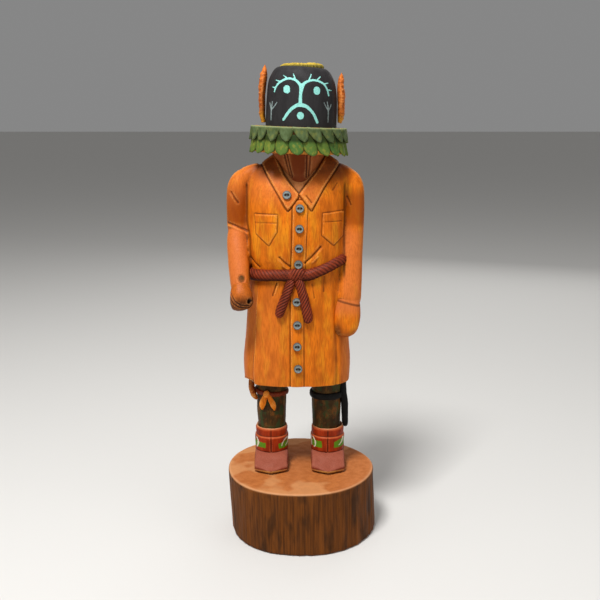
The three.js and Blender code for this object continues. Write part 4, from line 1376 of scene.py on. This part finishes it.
def finishes():
    """Every finish, by name."""
    # Three of these layers are painted shade: the browner shade, the ruff's shadow and the dark under the
    # coat's lower edge.
    coat_layers = (("shade", "8E3E02"), ("blush", "C4682E"), ("ruff_shadow", "381A06"), ("skin", "C08450"))
    coat_layers += (("peg", "452E08"), ("hem_underside_shade", "1E1006"))
    return {
        # Thin orange stain on cottonwood: the eye sees upright grain, yellower patches, upper sleeves browned
        # with painted shade, a painted shadow under the ruff, painted shade under the coat's lower edge, a
        # rosy bloom on the forearms and pale edges along the carving, worn by rubbing and given a painted
        # highlight.
        "coat": painted_wood(
            "stained_cottonwood_coat", "D8700A", "A24C02", "ECA658", 0.55, coat_layers, (0.6, 5), 0.8, 0.45,
            warm="DE9418", mottle=0.55,
        ),
        # Red-brown acrylic, nearly black with painted shade between the strands and under the rope, gives the
        # rope its tight slanting ribs.
        "rope": painted_wood(
            "painted_rope", "7C2C12", "541A08", "9C4A2C", 0.55, wash=0.95, wear=0.4, bump=0.05
        ),
        # Bare wood, dark brown below as painted shade under a lighter top that meets the sleeve, with paler
        # finger ridges and painted shade in the bore.
        "fist": painted_wood(
            "stained_hand", "683208", "3E1C04", "B0703A", 0.5, (("sleeve", "BC6018"), ("bore", "0A0402")),
            wash=0.9,
        ),
        # Bare wood below the ruff: tan cords either side of a darker middle, the ruff's shadow painted down
        # the neck.
        "neck": painted_wood("stained_neck", "A2582A", "7A3E14", "BC8450", 0.6, (("throat_shadow", "742F0A"),)),
        # Grey acrylic with a dark rim and two holes painted black as shade, so that each button reads at a
        # glance.
        "buttons": painted_wood(
            "painted_buttons", "868C8A", "6E7472", "B0B4AE", 0.45, (("ring", "3A4040"), ("bore", "060505")),
            bump=0.03, mottle=0.25,
        ),
        # Reddish brown acrylic band, dull beside the bright bow.
        "band_brown": painted_wood("garter_brown", "661E06", "380F03", "9A4624", 0.5),
        # Black acrylic with hardly a glint, a plain dark band and tie.
        "band_black": painted_wood("garter_black", "070606", "040404", "1C1A18", 0.6, bump=0.05),
        # Orange acrylic tails, the brightest thing below the hem, under a dark red loop.
        "bow": painted_wood("garter_bow", "EE8614", "C05E0A", "F0A850", 0.5, (("loop", "6A1C04"),), wash=0.6),
        # Dusty red-brown vamp, flat and matt, with a lighter tan sole line under it.
        "shoe": painted_wood(
            "moccasin_shoe", "843822", "6C2C1A", "C4826A", 0.65, (("vamp", "96503C"), ("sole", "B07A34")),
            wear=0.4, mottle=0.25,
        ),
        # Ochre barbs that catch the light over a green-brown lower margin.
        "tuft": painted_wood(
            "cropped_feathers", "C8A93A", "7A6A24", "DCC060", 0.8, (("margin", "5A5426"),), (1.2, 1.2),
            mottle=0.6,
        ),
        # Orange wood between the leaf tips, near black with painted shade in the gaps behind them, sage on
        # the top.
        "core": painted_wood(
            "ruff_ground", "BC701C", "6A3A0E", "E0A044", 0.6, (("shadowed", "120D05"), ("topped", "6A7048"))
        ),
        # Orange stain crossed by dark knife marks, yellower towards the foot.
        "ears": painted_wood(
            "stained_ears", "CE7028", "8E3E0C", "E8A45C", 0.55, (("foot", "D29028"),), (2.5, 1), 1.0,
            mottle=0.8,
        ),
        "legs": leg_paint(),
        "wrap": moccasin_paint(),
        "mask": mask_paint(),
        "leaves": leaf_paint(),
        "slab": slab_wood(),
    }


def leg_paint():
    """Dark brown stain with green and rusty brush marks: olive brown from afar, mottled from close to."""
    finish, tree, colour = wood("stained_legs", "402A07", "241603", "7A5826", 0.55, wear=0.5)
    colour = lay(tree, colour, "2C3E1C", (4.2, 6, 3), 0.52, 0.6, 0.7)
    return coloured(finish, tree, lay(tree, colour, "7A420E", (3.1, 5.3, 3), 0.52, 0.7, 0.6))


def moccasin_paint():
    """Brick-red acrylic with green panels and white brush strokes, the liveliest colours on the doll."""
    finish, tree, colour = wood("moccasin_wrap", "9A2E03", "6E1C02", "D0683A", 0.5, wear=0.4)
    for name, paint in (("green", "55800F"), ("white", "D2CDB4")):
        colour = brush(tree, colour, paint, name, 0.7, 1.1, 0.1)
    # A painted highlight along the top of the rolled lip.
    colour = lay(tree, colour, "D8703E", "lip", most=0.4)
    return coloured(finish, tree, lay(tree, colour, "C89468", "rim", most=0.75))


def mask_paint():
    """Matt charcoal paint, soft and unlit, that makes the turquoise marks on it stand out."""
    finish, tree, colour = wood(
        "mask_charcoal", "2A2829", "1E1C1D", "4A4A48", 0.65, wear=0.25, mottle=0.3, specular=0.2
    )
    for name, paint, under in (("turquoise", "94D8CE", "7CC6BA"), ("tracks", "8C9A98", "6C7A7A")):
        uneven = lay(tree, under, paint, (0.6, 0.6, 2), 0.3, 0.6)
        colour = brush(tree, colour, uneven, name, 0.8, 0.5, 0.08)
    return coloured(finish, tree, colour)


def leaf_paint():
    """Green acrylic on the carved ruff: sage above, greener below, with painted shade at the margins and on
    the lower leaves' tops, and a painted highlight along the top of the upper leaves.
    """
    finish, tree, colour = wood(
        "ruff_green", "546440", "38461F", "8E9A62", 0.6, wash=0.9, wear=0.45, grain=(0.9, 2.4)
    )
    colour = lay(tree, colour, "6E7238", (2.4, 3, 3), 0.48, 0.66, 0.6)
    lower = lay(tree, "5C7026", "2C5E28", "chance")
    lower = lay(tree, lower, "86822A", (1.6, 2.2, 3), 0.5, 0.66, 0.6)
    colour = lay(tree, colour, lower, "row", most=0.85)
    # Painted shade along each leaf's edges.
    colour = lay(tree, colour, "182208", "margin", 0.7, 1.0, 0.85)
    # A painted highlight along the top of the upper row.
    colour = lay(tree, colour, "8C9468", "down", 0.16, 0.02, cover(tree, "row", 1.0, 0.0, 0.6))
    # Painted shade on the lower row's tops, under the upper leaves.
    colour = lay(tree, colour, "141C06", "down", 0.46, 0.26, cover(tree, "row", most=0.8))
    return coloured(finish, tree, colour)


def slab_wood():
    """Sanded end grain on top with faint rings, and a golden brown side with upright streaks."""
    finish, tree, colour = wood(
        "branch_slab", "B66C36", "A05A2A", "D69A66", 0.7, grain=(1.2, 1.2), wear=0.3, mottle=0.35
    )
    spot = add(tree, "TexCoord", {}, "Object")
    pith = add(tree, "Mapping", {"Vector": spot, "Location": (0.004, -0.006, 0), "Scale": (1, 1, 0.02)})
    wave = {"Vector": pith, "Scale": 110.0, "Distortion": 3.0, "Detail": 2.0, "Detail Scale": 0.6}
    rings = add(tree, "TexWave", wave, "Fac", wave_type="RINGS", rings_direction="Z")
    colour = lay(tree, colour, "8A5026", rings, most=0.1)
    colour = lay(tree, colour, "D29A66", (26, 26, 2), 0.46, 0.54, 0.45)
    side = lay(tree, "6C3A0C", "422206", (1.1, 34, 5, 0.6), 0.32, 0.74)
    side = lay(tree, side, "281604", (7, 26, 4), 0.5, 0.66, 0.7)
    side = lay(tree, side, "824814", (9, 44, 3), 0.5, 0.68, 0.55)
    colour = lay(tree, colour, side, "side")
    # The top rim laid paler, partly as a painted highlight.
    return coloured(finish, tree, lay(tree, colour, "D8A47A", "rim", most=0.4))


# ---- the whole ----


def shown(piece, finish, slot, *nodes):
    """Gives a piece its finish and its place in the frame."""
    piece.data.materials.clear()
    piece.data.materials.append(finish)
    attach(piece, "root")
    for node in nodes:
        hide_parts(node)
    return piece


def main():
    paint = finishes()
    view_and_light()
    floor = ground()
    floor.data.materials.append(floor_finish())
    shown(slab(), paint["slab"], "base_wood", "base")
    coat = shown(body(), paint["coat"], "painted_wood", "figure")
    figure = [
        (buttons(coat), "buttons"),
        (fist(), "fist"),
        (mitten(), "coat"),
        (belt(), "rope"),
        (rope_end("rope_end_right", TAILS[0]), "rope"),
        (rope_end("rope_end_left", TAILS[1]), "rope"),
        (knot(), "rope"),
        (garter("right", 86, -0.6, 2.9, 1.3), "band_brown"),
        (garter("left", 84.2, 0, 4.2, 1.1), "band_black"),
        (bow(), "bow"),
        (tie(), "band_black"),
        (neck(), "neck"),
        (mask(), "mask"),
        (tuft(), "tuft"),
        (ruff_core(), "core"),
        (leaves(), "leaves"),
    ]
    for side in LEGS:
        figure += [(leg(side), "legs"), (wrap(side), "wrap"), (shoe(side), "shoe")]
    for piece, finish in figure:
        shown(piece, paint[finish], "painted_wood", "figure")
    shown(ear("left"), paint["ears"], "ear_wood", "ear_left")
    shown(ear("right"), paint["ears"], "ear_wood", "ear_right")
    bare()


def floor_finish():
    """Matt pale paper, which keeps the ground plain and the shadows soft."""
    finish, _, shader = material("pale_paper", 0.9)
    shader.inputs["Base Color"].default_value = linear("D8D6D2")
    return finish


main()
